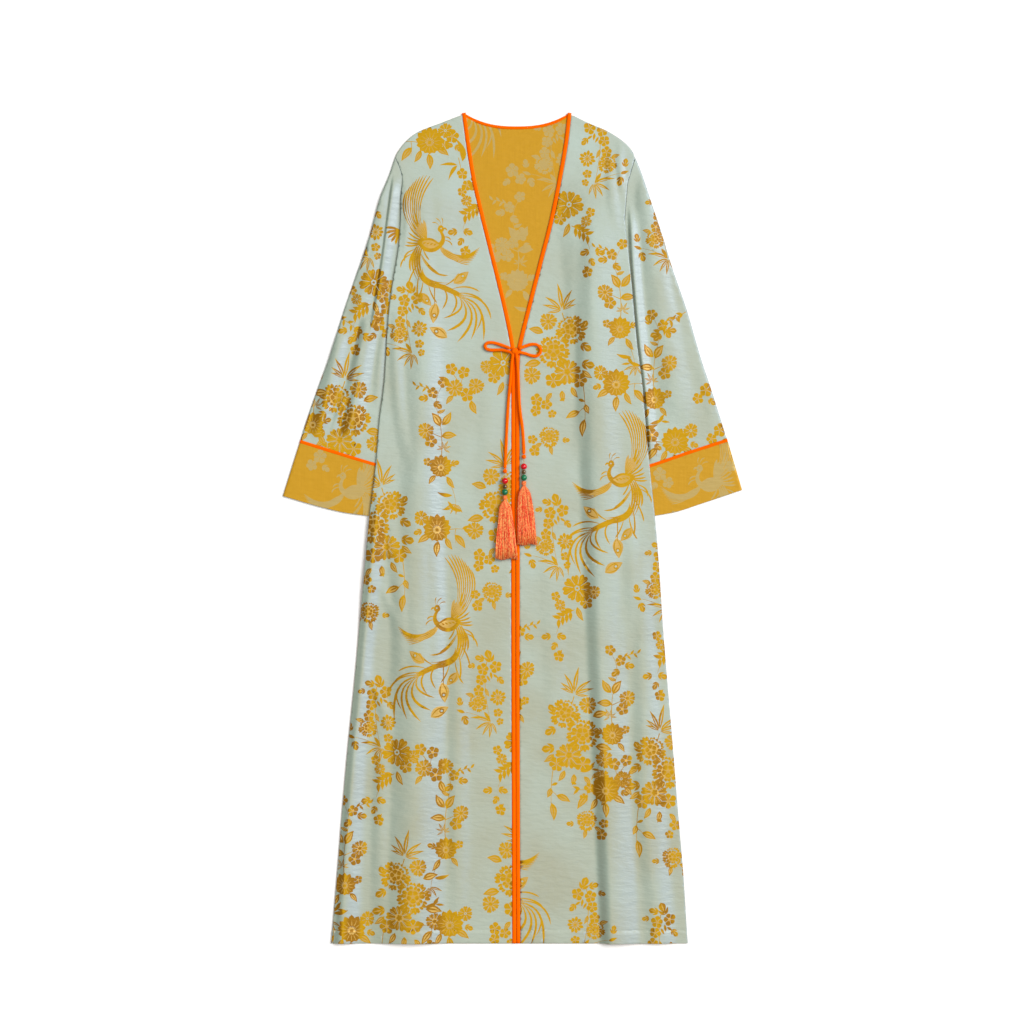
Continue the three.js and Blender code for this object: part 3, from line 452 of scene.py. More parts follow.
for number, (side, tie) in enumerate(TIES.items()):
    x, _, z = tie["knot"]
    top = tie["tassel_top"]
    fan = TASSEL_FANS[side]
    random = np.random.default_rng(41 + number)
    share_down = np.array([0, 0.03, 0.07, 0.13, 0.22, 0.4, 0.6, 0.8, 1.0])
    aside = random.uniform(-1, 1, STRANDS)
    depth = random.uniform(0, 1, STRANDS)
    wave = random.uniform(0, 2 * np.pi, (2, STRANDS))
    neck = top - COLLAR_HEIGHT
    tip = top - TASSEL_LENGTH + TIP_WAVE * np.sin(4 * aside) + random.uniform(*TIP_UNEVEN, STRANDS)
    y = neck + (tip[:, None] - neck) * share_down
    fall = (top - y) / TASSEL_LENGTH
    half = read_between([0, 0.07, 0.1, 0.15, 0.21, 0.5, 0.8, 1.0],
                        [1.6, 1.7, 3.6, 7.6, 9.6, 12.6, fan["half"] * 0.9, fan["half"] - 0.6], fall)
    thick = read_between([0, 0.07, 0.12, 0.2, 0.5, 1.0], [1.6, 1.7, 3.6, 4.4, 4.1, 3.5], fall)
    wander = STRAND_WANDER * np.sin(9 * fall + wave[0][:, None]) * np.clip((fall - 0.15) * 3, 0, 1)
    centre_x = x + (fan["tip_x"] - x) * fall
    rim = np.sqrt(1 - 0.75 * aside[:, None] ** 2)
    middle = read_between([0, 0.07, 0.2, 1.0], [z, z, 8.0, 7.9], fall)
    lines = np.stack([
        centre_x + aside[:, None] * half + wander, y,
        middle + (2 * depth[:, None] - 1) * thick * rim + 0.3 * np.sin(7 * fall + wave[1][:, None]),
    ], axis=-1)
    radius = np.array([0.35, 0.42, 0.5, 0.55, 0.55, 0.55, 0.56, 0.58, 0.5])
    skirt = strand_bundle(f"tassel_skirt_{side}", lines, radius)
    dress(skirt, orange_floss, "tassel_thread", f"tassel_{side}")
    turns = np.linspace(0, COLLAR_TURNS, 61)
    coil = COLLAR_RADIUS + COLLAR_THREAD * np.abs(np.sin(np.pi * turns))
    along_collar = -0.4 - COLLAR_PITCH * np.append(turns, COLLAR_TURNS + 0.4)
    collar = turned(f"tassel_collar_{side}", (x, top, z),
                    np.stack([np.append(coil, 1.4), along_collar], axis=1))
    dress(collar, orange_floss, "tassel_thread")
    thread_start = tie["knot"][1] - KNOT_RADIUS + 0.8
    thread_end = (centre_x[0, 4], top - THREAD_IN_TASSEL, z)
    thread_step = 0.5
    thread_line = smooth_line([(x, thread_start, z), (x, top, z), thread_end], thread_step)
    turn = 2 * np.pi * np.arange(len(thread_line)) * thread_step / THREAD_TWIST
    twist = THREAD_RADIUS * (1 + 0.12 * np.sin(turn))
    thread = tube_along(f"bead_thread_{side}_twisted", thread_line, twist, 8)
    dress(thread, waxed_thread, "bead_thread", f"bead_thread_{side}")

# Cloth of the robe: a silk-like brocade with a celadon satin ground and a figure of gold weft floats, the
# traditional phoenix among peonies. Its wrong side is the other way about: a gold ground, a dull figure.
GROUND, GOLD, MIXED = 0, 1, 2
HALF_WIDTHS = {
    "leaf": lambda t: np.sin(np.pi * t ** 0.8),
    "feather": lambda t: 1.55 * t ** 0.7 * (1 - t) ** 0.3,
    "plume": lambda t: 0.16 + 1.5 * t ** 2.2 * (1 - t) ** 0.4,
    "petal": lambda t: np.sin(np.pi * t ** 1.5) ** 0.7,
    "stem": lambda t: 1 - 0.55 * t,
}


def stroke(start, bend, end, width, shape="leaf", stations=7, tone=GOLD):
    """A leaf, feather or stem: a curve from start to end pulled towards the bend, with half the width on
    either side times the shape's share, from 0 at a point to 1 at its widest."""
    t = np.linspace(0, 1, stations)
    spine = (1 - t) ** 2 * start + 2 * t * (1 - t) * bend + t ** 2 * end
    heading = (1 - t) * (bend - start) + t * (end - bend)
    half = np.maximum(HALF_WIDTHS[shape](t), 0.06) * width / 2 * 1j * heading / np.abs(heading)
    return np.concatenate([spine - half, (spine + half)[::-1]]), tone


def pointing(start, degrees, length, width, curl=0.0, shape="leaf", tone=GOLD):
    """A stroke that sets out at an angle and curls sideways by a share of its length."""
    along = length * np.exp(1j * np.radians(degrees))
    return stroke(start, start + along * (0.5 - 1j * curl), start + along, width, shape, tone=tone)


def lobed(centre, radius, lobes, depth, turn=0.0, squash=1.0, tone=GOLD, corners=5):
    """A ring of round lobes with sharp notches between them. A slow wave of 6% makes the lobes uneven."""
    angle = 2 * np.pi * np.arange(corners * lobes) / (corners * lobes)
    reach = radius * (1 - depth + depth * np.abs(np.sin(lobes * angle / 2)) ** 0.6)
    reach = reach * (1 + 0.06 * np.sin(2 * angle + radius))
    way = np.exp(1j * np.radians(turn))
    return centre + reach * (np.cos(angle) + 1j * squash * np.sin(angle)) * way, tone


def spokes(centre, inner, outer, count, width, turn, tone, shape="leaf"):
    """Narrow strokes round a centre, like the slits between petals or the petals of a daisy."""
    ways = np.exp(1j * np.radians(turn + 360 * np.arange(count) / count))
    reach = outer * (1 + 0.08 * np.sin(2.4 * np.arange(count)))
    return [stroke(centre + inner * w, centre + (inner + r) / 2 * w * (1 + 0.06j), centre + r * w, width,
                   shape, 6, tone) for w, r in zip(ways, reach)]


def ribbed_leaf(start, degrees, length, width, curl=0.12):
    """A leaf with a pale blade between a gold rim and a gold rib."""
    inset = start + 0.16 * length * np.exp(1j * np.radians(degrees))
    return [
        pointing(start, degrees, length, width, curl),
        pointing(inset, degrees, 0.7 * length, 0.62 * width, curl, tone=MIXED),
        pointing(start, degrees, 0.86 * length, 0.2 * width, curl),
    ]


def broad_petal(centre, degrees, inner, outer, spread, tone=GOLD, scallops=3):
    """One broad petal: narrow at its foot, its outer edge in scallops."""
    s = np.linspace(-1, 1, 4 * scallops + 1)
    reach = outer * (0.88 + 0.12 * np.abs(np.sin(np.pi * scallops * (s + 1) / 2)) ** 0.6) * (1 - 0.1 * s * s)
    edge = centre + reach * np.exp(1j * np.radians(degrees + spread / 2 * s))
    feet = centre + inner * np.exp(1j * np.radians(degrees + spread * np.array([0.3, -0.3])))
    return np.concatenate([edge, feet]), tone


def petals_round(centre, inner, outer, count, turn, tone=GOLD, scallops=2, fill=0.94):
    """A ring of broad petals with thin gaps between them, a little uneven in length."""
    reach = outer * (1 + 0.07 * np.sin(2.1 * np.arange(count) + radians_of(centre)))
    return [broad_petal(centre, turn + 360 * k / count, inner, reach[k], fill * 360 / count, tone, scallops)
            for k in range(count)]


def radians_of(place):
    """An angle that differs from place to place, so that repeated flowers don't match."""
    return 0.37 * place.real + 0.61 * place.imag


def small_flower(centre, radius, petals=5, turn=0.0):
    """A small flower of notched petals round a pale eye."""
    return petals_round(centre, 0.12 * radius, radius, petals, turn, scallops=1) + [
        lobed(centre, 0.24 * radius, 3, 0.15, turn, tone=MIXED)]


def peony(centre, radius, turn=0.0):
    """Full peony: three rings of notched petals, each edged by a line of the ground, with fine pale lines up
    the outer petals and a gold eye."""
    heart = centre + 0.07 * radius * np.exp(1j * np.radians(turn + 90))
    parts = petals_round(centre, 0.3 * radius, radius, 8, turn, scallops=3)
    parts += spokes(centre, 0.66 * radius, 0.93 * radius, 21, 0.035 * radius, turn + 9, MIXED)
    parts += [lobed(heart, 0.71 * radius, 7, 0.12, turn + 10, tone=GROUND, corners=4)]
    parts += petals_round(heart, 0.2 * radius, 0.68 * radius, 7, turn + 24, scallops=2)
    parts += spokes(heart, 0.42 * radius, 0.62 * radius, 14, 0.035 * radius, turn + 20, MIXED)
    parts += [lobed(heart, 0.45 * radius, 5, 0.12, turn + 40, tone=MIXED, corners=4)]
    parts += petals_round(heart, 0.1 * radius, 0.38 * radius, 5, turn + 60, scallops=1)
    return parts + [lobed(heart, 0.12 * radius, 3, 0.2, turn, tone=MIXED)]


def ragged_flower(centre, radius, turn=0.0):
    """A fuller side flower: nine ragged petals with fine pale lines round a small gold heart."""
    parts = petals_round(centre, 0.2 * radius, radius, 9, turn, scallops=2)
    parts += spokes(centre, 0.36 * radius, 0.88 * radius, 18, 0.04 * radius, turn + 8, MIXED)
    parts += [lobed(centre, 0.36 * radius, 5, 0.2, turn, tone=MIXED, corners=4)]
    return parts + [lobed(centre, 0.24 * radius, 5, 0.3, turn + 20, corners=4)]


def open_flower(centre, radius, turn=0.0):
    """Wide open flower: eight broad gold petals round a small pale ring with a gold dot."""
    parts = petals_round(centre, 0.1 * radius, radius, 8, turn, scallops=2)
    parts += spokes(centre, 0.5 * radius, 0.9 * radius, 16, 0.03 * radius, turn + 8, MIXED)
    parts += [lobed(centre, 0.3 * radius, 8, 0.1, turn, corners=3)]
    parts += [lobed(centre, 0.2 * radius, 6, 0.2, turn, tone=GROUND, corners=3)]
    return parts + [lobed(centre, 0.09 * radius, 3, 0.1, turn)]


def daisy(centre, radius, turn=0.0):
    """Small daisy: slender petals round a pale, dotted middle."""
    parts = spokes(centre, 0.3 * radius, radius, 11, 0.4 * radius, turn, GOLD, "petal")
    parts += [lobed(centre, 0.36 * radius, 6, 0.1, turn, tone=MIXED, corners=3)]
    return parts + [lobed(centre, 0.16 * radius, 4, 0.3, turn, corners=4)]


def aster(centre, radius, turn=0.0):
    """Aster seen from a little below: long narrow petals, the longest at the top, on a pale ringed eye."""
    parts = []
    for k in range(14):
        degrees = turn + 90 + 360 * k / 14
        reach = radius * (1.0 + 0.16 * np.cos(np.radians(degrees - turn - 90)))
        start = centre + 0.2 * radius * np.exp(1j * np.radians(degrees))
        parts.append(pointing(start, degrees, reach - 0.2 * radius, 0.46 * radius, 0.02, "petal"))
    parts += spokes(centre, 0.3 * radius, 0.8 * radius, 14, 0.045 * radius, turn + 90, MIXED)
    parts += [lobed(centre, 0.3 * radius, 8, 0.2, turn, tone=MIXED, corners=3)]
    return parts + [lobed(centre, 0.14 * radius, 4, 0.2, turn, corners=4)]


def bud(centre, size, degrees):
    """A swelling bud in two sepals, a pale line up its middle."""
    way = np.exp(1j * np.radians(degrees))
    return [
        pointing(centre, degrees, 1.5 * size, size, 0, "petal"),
        pointing(centre + 0.3 * size * way, degrees, 1.0 * size, 0.16 * size, 0.04, tone=MIXED),
        pointing(centre - 0.2 * size * way, degrees + 38, 1.1 * size, 0.4 * size, -0.12),
        pointing(centre - 0.2 * size * way, degrees - 38, 1.1 * size, 0.4 * size, 0.12),
    ]


def blades(start, rows):
    """Slender blades from one point, each with an open rib: rows of direction, length and curl."""
    parts = []
    for degrees, length, curl in rows:
        foot = start + 0.08 * length * np.exp(1j * np.radians(degrees))
        parts.append(pointing(foot, degrees, length, 0.15 * length + 1.2, curl))
        parts.append(pointing(foot + 0.12 * length * np.exp(1j * np.radians(degrees)), degrees, 0.62 * length,
                              0.03 * length + 0.3, curl, tone=GROUND))
    return parts


def twig(start, bend, end, leaves, size):
    """A thin stem with small leaves by turns on its two sides."""
    parts = [stroke(start, bend, end, 1.3, "stem")]
    heading = np.degrees(np.angle(end - bend))
    for k in range(leaves):
        t = (k + 1) / (leaves + 0.4)
        at = (1 - t) ** 2 * start + 2 * t * (1 - t) * bend + t ** 2 * end
        parts.append(pointing(at, heading + (52 if k % 2 else -48), size, 0.42 * size,
                              0.08 if k % 2 else -0.08))
    return parts


def bouquet():
    """Two great peonies one above the other, with lesser flowers, a fan of blades, leaves and blossoms."""
    parts = [stroke(14 + 62j, 20 + 40j, 26 + 30j, 1.6, "stem")]
    parts += blades(14 + 66j, ((100, 40, 0.05), (64, 33, -0.08), (142, 32, 0.1), (165, 30, 0.06),
                               (22, 22, -0.1), (188, 22, -0.06), (40, 26, -0.05)))
    parts += ragged_flower(-8 + 48j, 14, 12) + bud(46 + 36j, 10, 60) + bud(46 + 10j, 11, -30)
    parts += ribbed_leaf(-16 + 30j, 165, 24, 12) + ribbed_leaf(-20 - 18j, 190, 26, 13)
    parts += ragged_flower(22 - 32j, 21, 10) + small_flower(0 - 46j, 13, 6, 30)
    parts += small_flower(42 - 46j, 12, 6)
    parts += peony(28 + 34j, 24, 15) + peony(0, 27, -8) + ragged_flower(-34 - 38j, 14, 20)
    parts += bud(48 - 20j, 12, -10) + ribbed_leaf(46 - 30j, -38, 20, 9)
    parts += small_flower(-27 - 77j, 10, 5, 10) + small_flower(-11 - 84j, 9, 5)
    parts += small_flower(-28 - 94j, 9, 5, 40)
    parts += ribbed_leaf(-2 - 66j, 235, 17, 8) + ribbed_leaf(14 - 62j, -80, 18, 9)
    parts += ribbed_leaf(29 - 56j, -60, 20, 9)
    parts += [pointing(10 - 78j, 20, 10, 4.5), pointing(40 - 76j, -20, 11, 5)]
    parts += small_flower(-2 - 99j, 7, 5, 15)
    parts += [stroke(47 - 52j, 52 - 80j, 50 - 122j, 1.3, "stem"),
              stroke(51 - 88j, 44 - 92j, 38 - 100j, 1.2, "stem")]
    parts += ribbed_leaf(42 - 96j, 205, 24, 11) + ribbed_leaf(51 - 84j, -70, 16, 9)
    parts += ribbed_leaf(50 - 108j, -98, 28, 11)
    parts += peony(-6 - 136j, 17, 30) + small_flower(-33 - 140j, 8) + small_flower(-30 - 158j, 9, 5, 25)
    parts += bud(16 - 141j, 7, 0) + ribbed_leaf(-18 - 146j, 215, 16, 7) + ribbed_leaf(-4 - 150j, 280, 15, 7)
    return parts


def aster_group():
    """An aster with a small open flower beside it, hanging leaves and a side stem."""
    parts = [stroke(8 - 4j, 24 + 4j, 42 + 1j, 1.4, "stem"), stroke(30 + 2j, 27 - 8j, 30 - 22j, 1.1, "stem")]
    parts += ribbed_leaf(-10 - 8j, 212, 24, 11) + ribbed_leaf(2 - 18j, -96, 25, 11)
    parts += ribbed_leaf(28 - 8j, -52, 27, 11, -0.1) + ribbed_leaf(14 - 12j, -62, 22, 9)
    parts += open_flower(-25 + 19j, 12) + aster(0, 22) + bud(-26 - 2j, 8, 200)
    parts += [pointing(40 + 30j, 158, 24, 6, -0.14), pointing(42 + 4j, -50, 14, 5),
              pointing(40 + 2j, 20, 13, 5)]
    return parts + [pointing(26 + 34j, 128, 15, 5), pointing(22 + 34j, 186, 14, 4)]


def blossom_column():
    """A hanging column: a drooping bud, small flowers, a peony with a daisy by it, and a fan of blades."""
    parts = [stroke(14 + 66j, 6 + 30j, 20 - 30j, 1.3, "stem"),
             stroke(20 - 29j, 0 - 18j, -20 - 14j, 1.1, "stem")]
    parts += bud(20 + 68j, 12, 110) + bud(8 + 70j, 9, 165) + bud(-6 + 60j, 7, 190)
    parts += small_flower(8 + 54j, 10, 5, 10) + small_flower(28 + 58j, 10, 5, 35) + bud(33 + 40j, 8, -50)
    parts += [pointing(20 + 50j, -80, 12, 4.5), pointing(14 + 44j, -60, 11, 4),
              pointing(24 + 46j, -36, 11, 4)]
    parts += small_flower(5 + 37j, 9, 5, 60) + small_flower(1 + 20j, 9, 5, 20)
    parts += ribbed_leaf(12 + 24j, -66, 15, 6) + ribbed_leaf(-6 + 10j, 160, 15, 7)
    parts += peony(0, 15, 10) + daisy(32 + 9j, 13)
    parts += small_flower(32 - 15j, 7.5, 5, 8) + small_flower(35 - 29j, 6, 5, 30)
    parts += [pointing(10 - 14j, -55, 18, 5.5)]
    parts += blades(22 - 30j, ((168, 32, 0.16), (205, 26, 0.14), (235, 24, 0.1), (262, 24, 0.04),
                               (292, 19, -0.06)))
    return parts + [pointing(-21 - 15j, 160, 14, 5.5)] + bud(-28 - 2j, 8, 100) + bud(-22 - 22j, 9, -70)


def open_group():
    """A wide open flower over a compound leaf, with a thread of buds that hangs from it."""
    parts = [stroke(-14 - 34j, -26 - 46j, -33 - 72j, 1.1, "stem")]
    parts += small_flower(14 - 22j, 11, 6, 200) + ragged_flower(26 - 6j, 11)
    parts += open_flower(0, 23, 12) + small_flower(-34 - 13j, 8) + open_flower(-27 - 27j, 9)
    parts += twig(-4 - 34j, -16 - 40j, -30 - 50j, 8, 15) + ribbed_leaf(0 - 30j, -66, 24, 9)
    parts += bud(-44 - 76j, 9, 190) + bud(-30 - 75j, 9, -20) + bud(-34 - 88j, 8, 240)
    return parts + small_flower(-29 - 108j, 9, 5, 10) + [pointing(-30 - 108j, 60, 12, 4.5)]


def leaf_stem():
    """A climbing stem of ribbed leaves: a lobed flower, small blossoms at its head, an aster at its foot."""
    parts = [stroke(0 + 8j, 6 + 60j, -10 + 104j, 1.3, "stem"),
             stroke(-8 + 96j, -8 + 116j, 2 + 130j, 1.0, "stem")]
    parts += ribbed_leaf(-1 + 66j, 122, 25, 13) + ribbed_leaf(2 + 68j, 56, 25, 12)
    parts += ribbed_leaf(1 + 50j, 4, 24, 12, -0.1) + ribbed_leaf(-6 + 88j, 20, 14, 6)
    parts += [stroke(2 + 48j, -8 + 52j, -16 + 56j, 1.4, "stem")]
    parts += ragged_flower(-24 + 59j, 13, 20) + small_flower(-16 + 42j, 10, 5)
    parts += blades(4 + 30j, ((60, 14, 0), (20, 12, 0), (100, 12, 0), (-30, 11, 0), (150, 10, 0),
                              (185, 10, 0)))
    parts += aster(0, 18) + small_flower(-21 + 9j, 7) + ribbed_leaf(-8 - 12j, 232, 18, 8)
    parts += ribbed_leaf(10 - 14j, -58, 22, 9) + bud(18 + 6j, 8, 15)
    parts += [stroke(8 - 14j, 22 - 34j, 24 - 60j, 1.1, "stem"), pointing(18 - 44j, 168, 24, 6.5, -0.16)]
    parts += blades(26 - 58j, ((200, 20, 0.1), (235, 18, 0.1), (262, 16, 0), (300, 15, 0)))
    parts += small_flower(-13 + 119j, 9, 5, 10) + small_flower(4 + 136j, 9, 5, 40)
    parts += bud(-22 + 111j, 9, 185) + bud(-9 + 103j, 9, -40)
    return parts + twig(-14 + 122j, -26 + 130j, -42 + 131j, 5, 9)


def small_spray():
    """A short spray: two blossoms over a ragged flower, a side flower and a hanging leaf."""
    parts = [stroke(-4 + 24j, 8 + 8j, 30 - 24j, 1.2, "stem"), stroke(12 + 20j, 12 + 8j, 6, 1.1, "stem")]
    parts += small_flower(-5 + 30j, 10, 5) + small_flower(14 + 25j, 10, 5, 30) + ragged_flower(0, 14, 30)
    parts += ragged_flower(34 + 3j, 13, 10) + small_flower(19 - 11j, 11, 5, 30)
    parts += ribbed_leaf(-8 + 8j, 152, 20, 8)
    return parts + ribbed_leaf(26 - 20j, -68, 23, 11) + ribbed_leaf(-2 - 12j, 230, 18, 8)


def phoenix():
    """Phoenix in flight, looking right: a wing thrown up in long pinions, the other spread low ahead in a
    fan of feathers, and a tail that falls and branches into curling plumes with eyes."""
    parts = []
    for k in range(9):
        share = k / 8
        tip = (-40 + 42 * share) + (78 + 30 * np.sin(np.pi * (0.06 + share * 0.62))) * 1j
        bend = (-60 + 25 * share) + (44 + 16 * share) * 1j
        parts.append(stroke(-14 + 2j + 6 * share, bend, tip, 4.0, "plume", 12))
    for k in range(8):
        share = k / 7
        tip = (-44 + 2 * k) + (4 + 52 * share ** 1.3) * 1j - 8j * (1 - share)
        parts.append(stroke(-8 + 3j, (-28 + 8 * share) + (-8 + 26 * share) * 1j, tip, 3.4, "feather"))
    for k in range(5):
        parts.append(pointing(-9 + 3j, 98 + 9 * k, 34 - 2 * k, 5.4, 0.08, "feather", MIXED))
        parts.append(pointing(-8 + 4j, 101 + 9 * k, 24 - 2 * k, 1.4, 0.08, "feather", GOLD))
    for k in range(9):
        share = k / 8
        start = (14 + 2 * share) - (5 + 8 * share) * 1j
        bend = (46 - 12 * share) - (34 - 2 * share) * 1j
        tip = (76 - 17 * share ** 1.4) - (7 + 28 * share) * 1j
        parts.append(stroke(start, bend, tip, 3.1 - 0.7 * share, "plume", 9))
    parts += [stroke(12 - 7j, 28 - 24j, 50 - 27j, 11, "leaf", 8, MIXED)]
    for k in range(4):
        parts.append(stroke(14 - 7j - 2j * k, 28 - 19j - 3j * k, 45 - 21j - 3j * k, 1.3, "leaf", 6, GOLD))
    parts += [stroke(-24 + 3j, 2 - 9j, 17 - 3j, 23, "leaf", 10),
              stroke(-17 + 1j, 0 - 5j, 11 - 3j, 13, "leaf", 8, MIXED)]
    for k in range(5):
        parts.append(pointing(-14 + 5.4 * k + 1j - 0.6j * k, 196 + 4 * k, 6, 2.6, 0.1, "petal", GOLD))
    parts += [stroke(12 - 4j, 23 + 5j, 13 + 19j, 8.5, "stem"), lobed(14 + 22j, 5.6, 3, 0.1, 30)]
    parts += [stroke(17 + 23j, 22 + 24j, 24 + 19j, 3, "leaf"),
              stroke(12 + 25j, 8 + 34j, 0 + 32j, 2.6, "plume")]
    parts += [stroke(14 + 27j, 14 + 36j, 6 + 39j, 2.6, "plume"),
              stroke(15 + 27j, 19 + 34j, 15 + 40j, 2.4, "plume")]
    parts += [lobed(14.5 + 22.6j, 1.2, 3, 0.1, tone=GROUND)]
    parts += [stroke(16 + 8j, 26 + 12j, 30 + 4j, 2.6, "feather"),
              stroke(18 + 4j, 30 + 4j, 32 - 5j, 2.4, "feather")]
    for k in range(4):
        parts.append(stroke(-22 - 2j + 3 * k, -41 - 30j + 4 * k, -22 - 62j + 4 * k, 3.6, "leaf", 10))
        parts.append(stroke(-24 - 40j + 3 * k, -18 - 74j + 3j * k, 26 - 73j + 3j * k, 3.6, "leaf", 10))
        parts.append(stroke(-2 - 67j + 2j * k, 32 - 78j + 2j * k, 54 - 92j + 2j * k, 3, "leaf", 9))
    for start, bend, end, width in (
        (-22 - 6j, -40 - 22j, -34 - 46j, 4), (-24 - 10j, -46 - 14j, -44 - 30j, 3.4),
        (-20 - 14j, -6 - 40j, 10 - 48j, 3.4),
        (-18 - 20j, -2 - 54j, 26 - 52j, 3.4), (-16 - 4j, -12 - 20j, -4 - 28j, 3),
        (-20 - 50j, -26 - 72j, -22 - 92j, 3.4),
        (-20 - 30j, -36 - 52j, -38 - 70j, 3.2), (-26 - 16j, -50 - 22j, -50 - 40j, 3),
        (-14 - 58j, -16 - 84j, -28 - 98j, 3.4), (10 - 68j, 34 - 80j, 16 - 106j, 3.4),
        (20 - 70j, 52 - 88j, 30 - 114j, 3.8),
        (40 - 80j, 66 - 78j, 82 - 94j, 3.4), (44 - 84j, 88 - 82j, 94 - 122j, 3.8),
        (46 - 86j, 88 - 92j, 82 - 156j, 4.6),
        (46 - 88j, 70 - 124j, 24 - 140j, 5.4), (48 - 88j, 82 - 118j, 40 - 158j, 5),
        (30 - 74j, 56 - 64j, 76 - 78j, 3.2),
        (42 - 84j, 60 - 108j, 18 - 120j, 4), (50 - 90j, 84 - 104j, 62 - 154j, 4.2),
        (46 - 87j, 96 - 100j, 70 - 140j, 3),
        (-6 - 66j, -2 - 84j, 8 - 96j, 3), (18 - 69j, 38 - 60j, 42 - 48j, 3.4),
    ):
        parts.append(stroke(start, bend, end, width, "feather", 9))
    for centre, degrees, size in ((46 - 55j, 38, 30), (-10 - 90j, -50, 27), (4 - 112j, -98, 32),
                                  (10 - 143j, 150, 32)):
        way = np.exp(1j * np.radians(degrees))
        parts.append(pointing(centre - size / 2 * way, degrees, size, 0.54 * size, 0.06, "leaf", MIXED))
        for bow in (0.34j, -0.34j):
            parts.append(stroke(centre - size * 0.46 * way, centre + bow * size * way,
                                centre + size * 0.5 * way, 2, "leaf"))
        parts.append(lobed(centre + 0.12 * size * way, 0.13 * size, 4, 0.1, corners=4))
        parts.append(lobed(centre + 0.12 * size * way, 0.06 * size, 3, 0.1, tone=GROUND, corners=4))
    parts.append(stroke(4 - 66j, 4 - 84j, 4 - 100j, 2.2, "stem"))
    return parts


DRAWINGS = {
    "phoenix": phoenix(), "bouquet": bouquet(), "aster": aster_group(), "column": blossom_column(),
    "open": open_group(), "leaves": leaf_stem(), "spray": small_spray(),
    "edge": [stroke(6 - 6j, 12 + 10j, -4 + 30j, 10), stroke(-2 - 12j, -14 - 8j, -30 - 12j, 5),
             stroke(-2 - 13j, -10 - 18j, -16 - 36j, 6),
             stroke(0, 4 - 20j, 12 - 48j, 1.2, "stem")] + small_flower(6 - 26j, 9, 5, 20)
             + small_flower(14 - 44j, 9, 5, 60),
    "wing": [pointing(0, 168 + 19 * k, 27 - k, 5, 0.2, "feather") for k in range(6)],
    "sprig": twig(18 + 22j, -2 + 12j, -26 - 10j, 7, 11) + bud(-26 - 12j, 9, 200) + bud(-14 - 8j, 9, -60)
    + bud(-40 + 4j, 9, 110),
    "twin": small_flower(8 + 6j, 11, 5, 10) + small_flower(-5 - 8j, 9, 5, 40) + bud(14 - 10j, 8, -40),
}


def laid_out(rows):
    """The outlines and tones of the drawings in a table of rows: name, x, y, and +1 as drawn or -1 turned
    over left to right."""
    return [
        (x + 1j * y + (outline if way > 0 else -np.conj(outline)), tone)
        for name, x, y, way in rows
        for outline, tone in DRAWINGS[name]
    ]


def inside(outline, points):
    """True for points inside a closed outline: a level line rightwards crosses it an odd number of times."""
    ends = np.roll(outline, -1)
    level = points.imag[:, None]
    crosses = (outline.imag > level) != (ends.imag > level)
    rise = np.where(ends.imag == outline.imag, 1.0, ends.imag - outline.imag)
    meets = outline.real + (level - outline.imag) * (ends.real - outline.real) / rise
    return (crosses & (meets > points.real[:, None])).sum(axis=1) % 2 == 1


def distance_to(line, points):
    """Distance from points to an open line of straight pieces."""
    start, run = line[:-1], np.diff(line)
    offset = points[:, None] - start
    share = np.clip((offset * np.conj(run)).real / np.abs(run) ** 2, 0, 1)
    return np.abs(offset - share * run).min(axis=1)


def woven(outline, figures, spacing, on_outline=(), on_ridges=()):
    """A panel cut along its outline, triangulated so that every edge of a figure is an edge of the mesh. It
    returns the points, the triangles and the tone of each triangle, that of the last figure over it. More
    points may be asked for on the outline and where sharp folds run."""
    closed = np.append(outline, outline[0])
    xs = np.arange(outline.real.min(), outline.real.max(), spacing)
    ys = np.arange(outline.imag.min(), outline.imag.max(), spacing * 0.87)
    grid = xs[None, :] + 1j * ys[:, None]
    grid[1::2] += spacing / 2
    grid = grid.ravel()
    grid = grid[inside(outline, grid)]
    ridge_points = np.asarray(on_ridges, complex)
    grid = np.concatenate([grid, ridge_points[inside(outline, ridge_points)]])
    grid = grid[distance_to(closed, grid) > 0.6 * min(spacing, 4)]
    along = np.roll(outline, -1) - np.roll(outline, 1)
    inward = 1j * along / np.abs(along)
    rims = np.concatenate([outline + inward * step for step in (0.5, 1.6)])
    rims = rims[inside(outline, rims)]
    shown = [(shape, tone) for shape, tone in figures if inside(outline, shape).any()]
    counts = np.cumsum([0, len(outline)] + [len(shape) for shape, _ in shown])
    loops = []
    for start, end, shape in zip(counts[:-1], counts[1:], [outline] + [shape for shape, _ in shown]):
        ends = np.roll(shape, -1)
        area = (shape.real * ends.imag - ends.real * shape.imag).sum()
        loop = list(range(start, end))
        loops.append(loop if area > 0 else loop[::-1])
    points = np.concatenate([outline] + [shape for shape, _ in shown] + [rims, grid, on_outline])
    spots = np.stack([points.real, points.imag], axis=1).tolist()
    result = geometry.delaunay_2d_cdt(spots, [], loops, 0, 1e-3, True)
    placed = np.array([(p.x, p.y) for p in result[0]])
    triangles = np.array(result[2])
    sources = result[5]
    sizes = np.fromiter(map(len, sources), int, len(sources))
    flat = np.fromiter((i for ids in sources for i in ids), int, sizes.sum())
    top = np.full(len(sources), -1)
    np.maximum.at(top, np.repeat(np.arange(len(sources)), sizes), flat)
    in_panel = np.zeros(len(sources), bool)
    in_panel[np.repeat(np.arange(len(sources)), sizes)[flat == 0]] = True
    tones = np.array([GROUND] + [tone for _, tone in shown])
    tone = tones[np.maximum(top, 0)][in_panel]
    used, triangles = np.unique(triangles[in_panel], return_inverse=True)
    placed = placed[used]
    return placed[:, 0] + 1j * placed[:, 1], triangles.reshape(-1, 3), tone


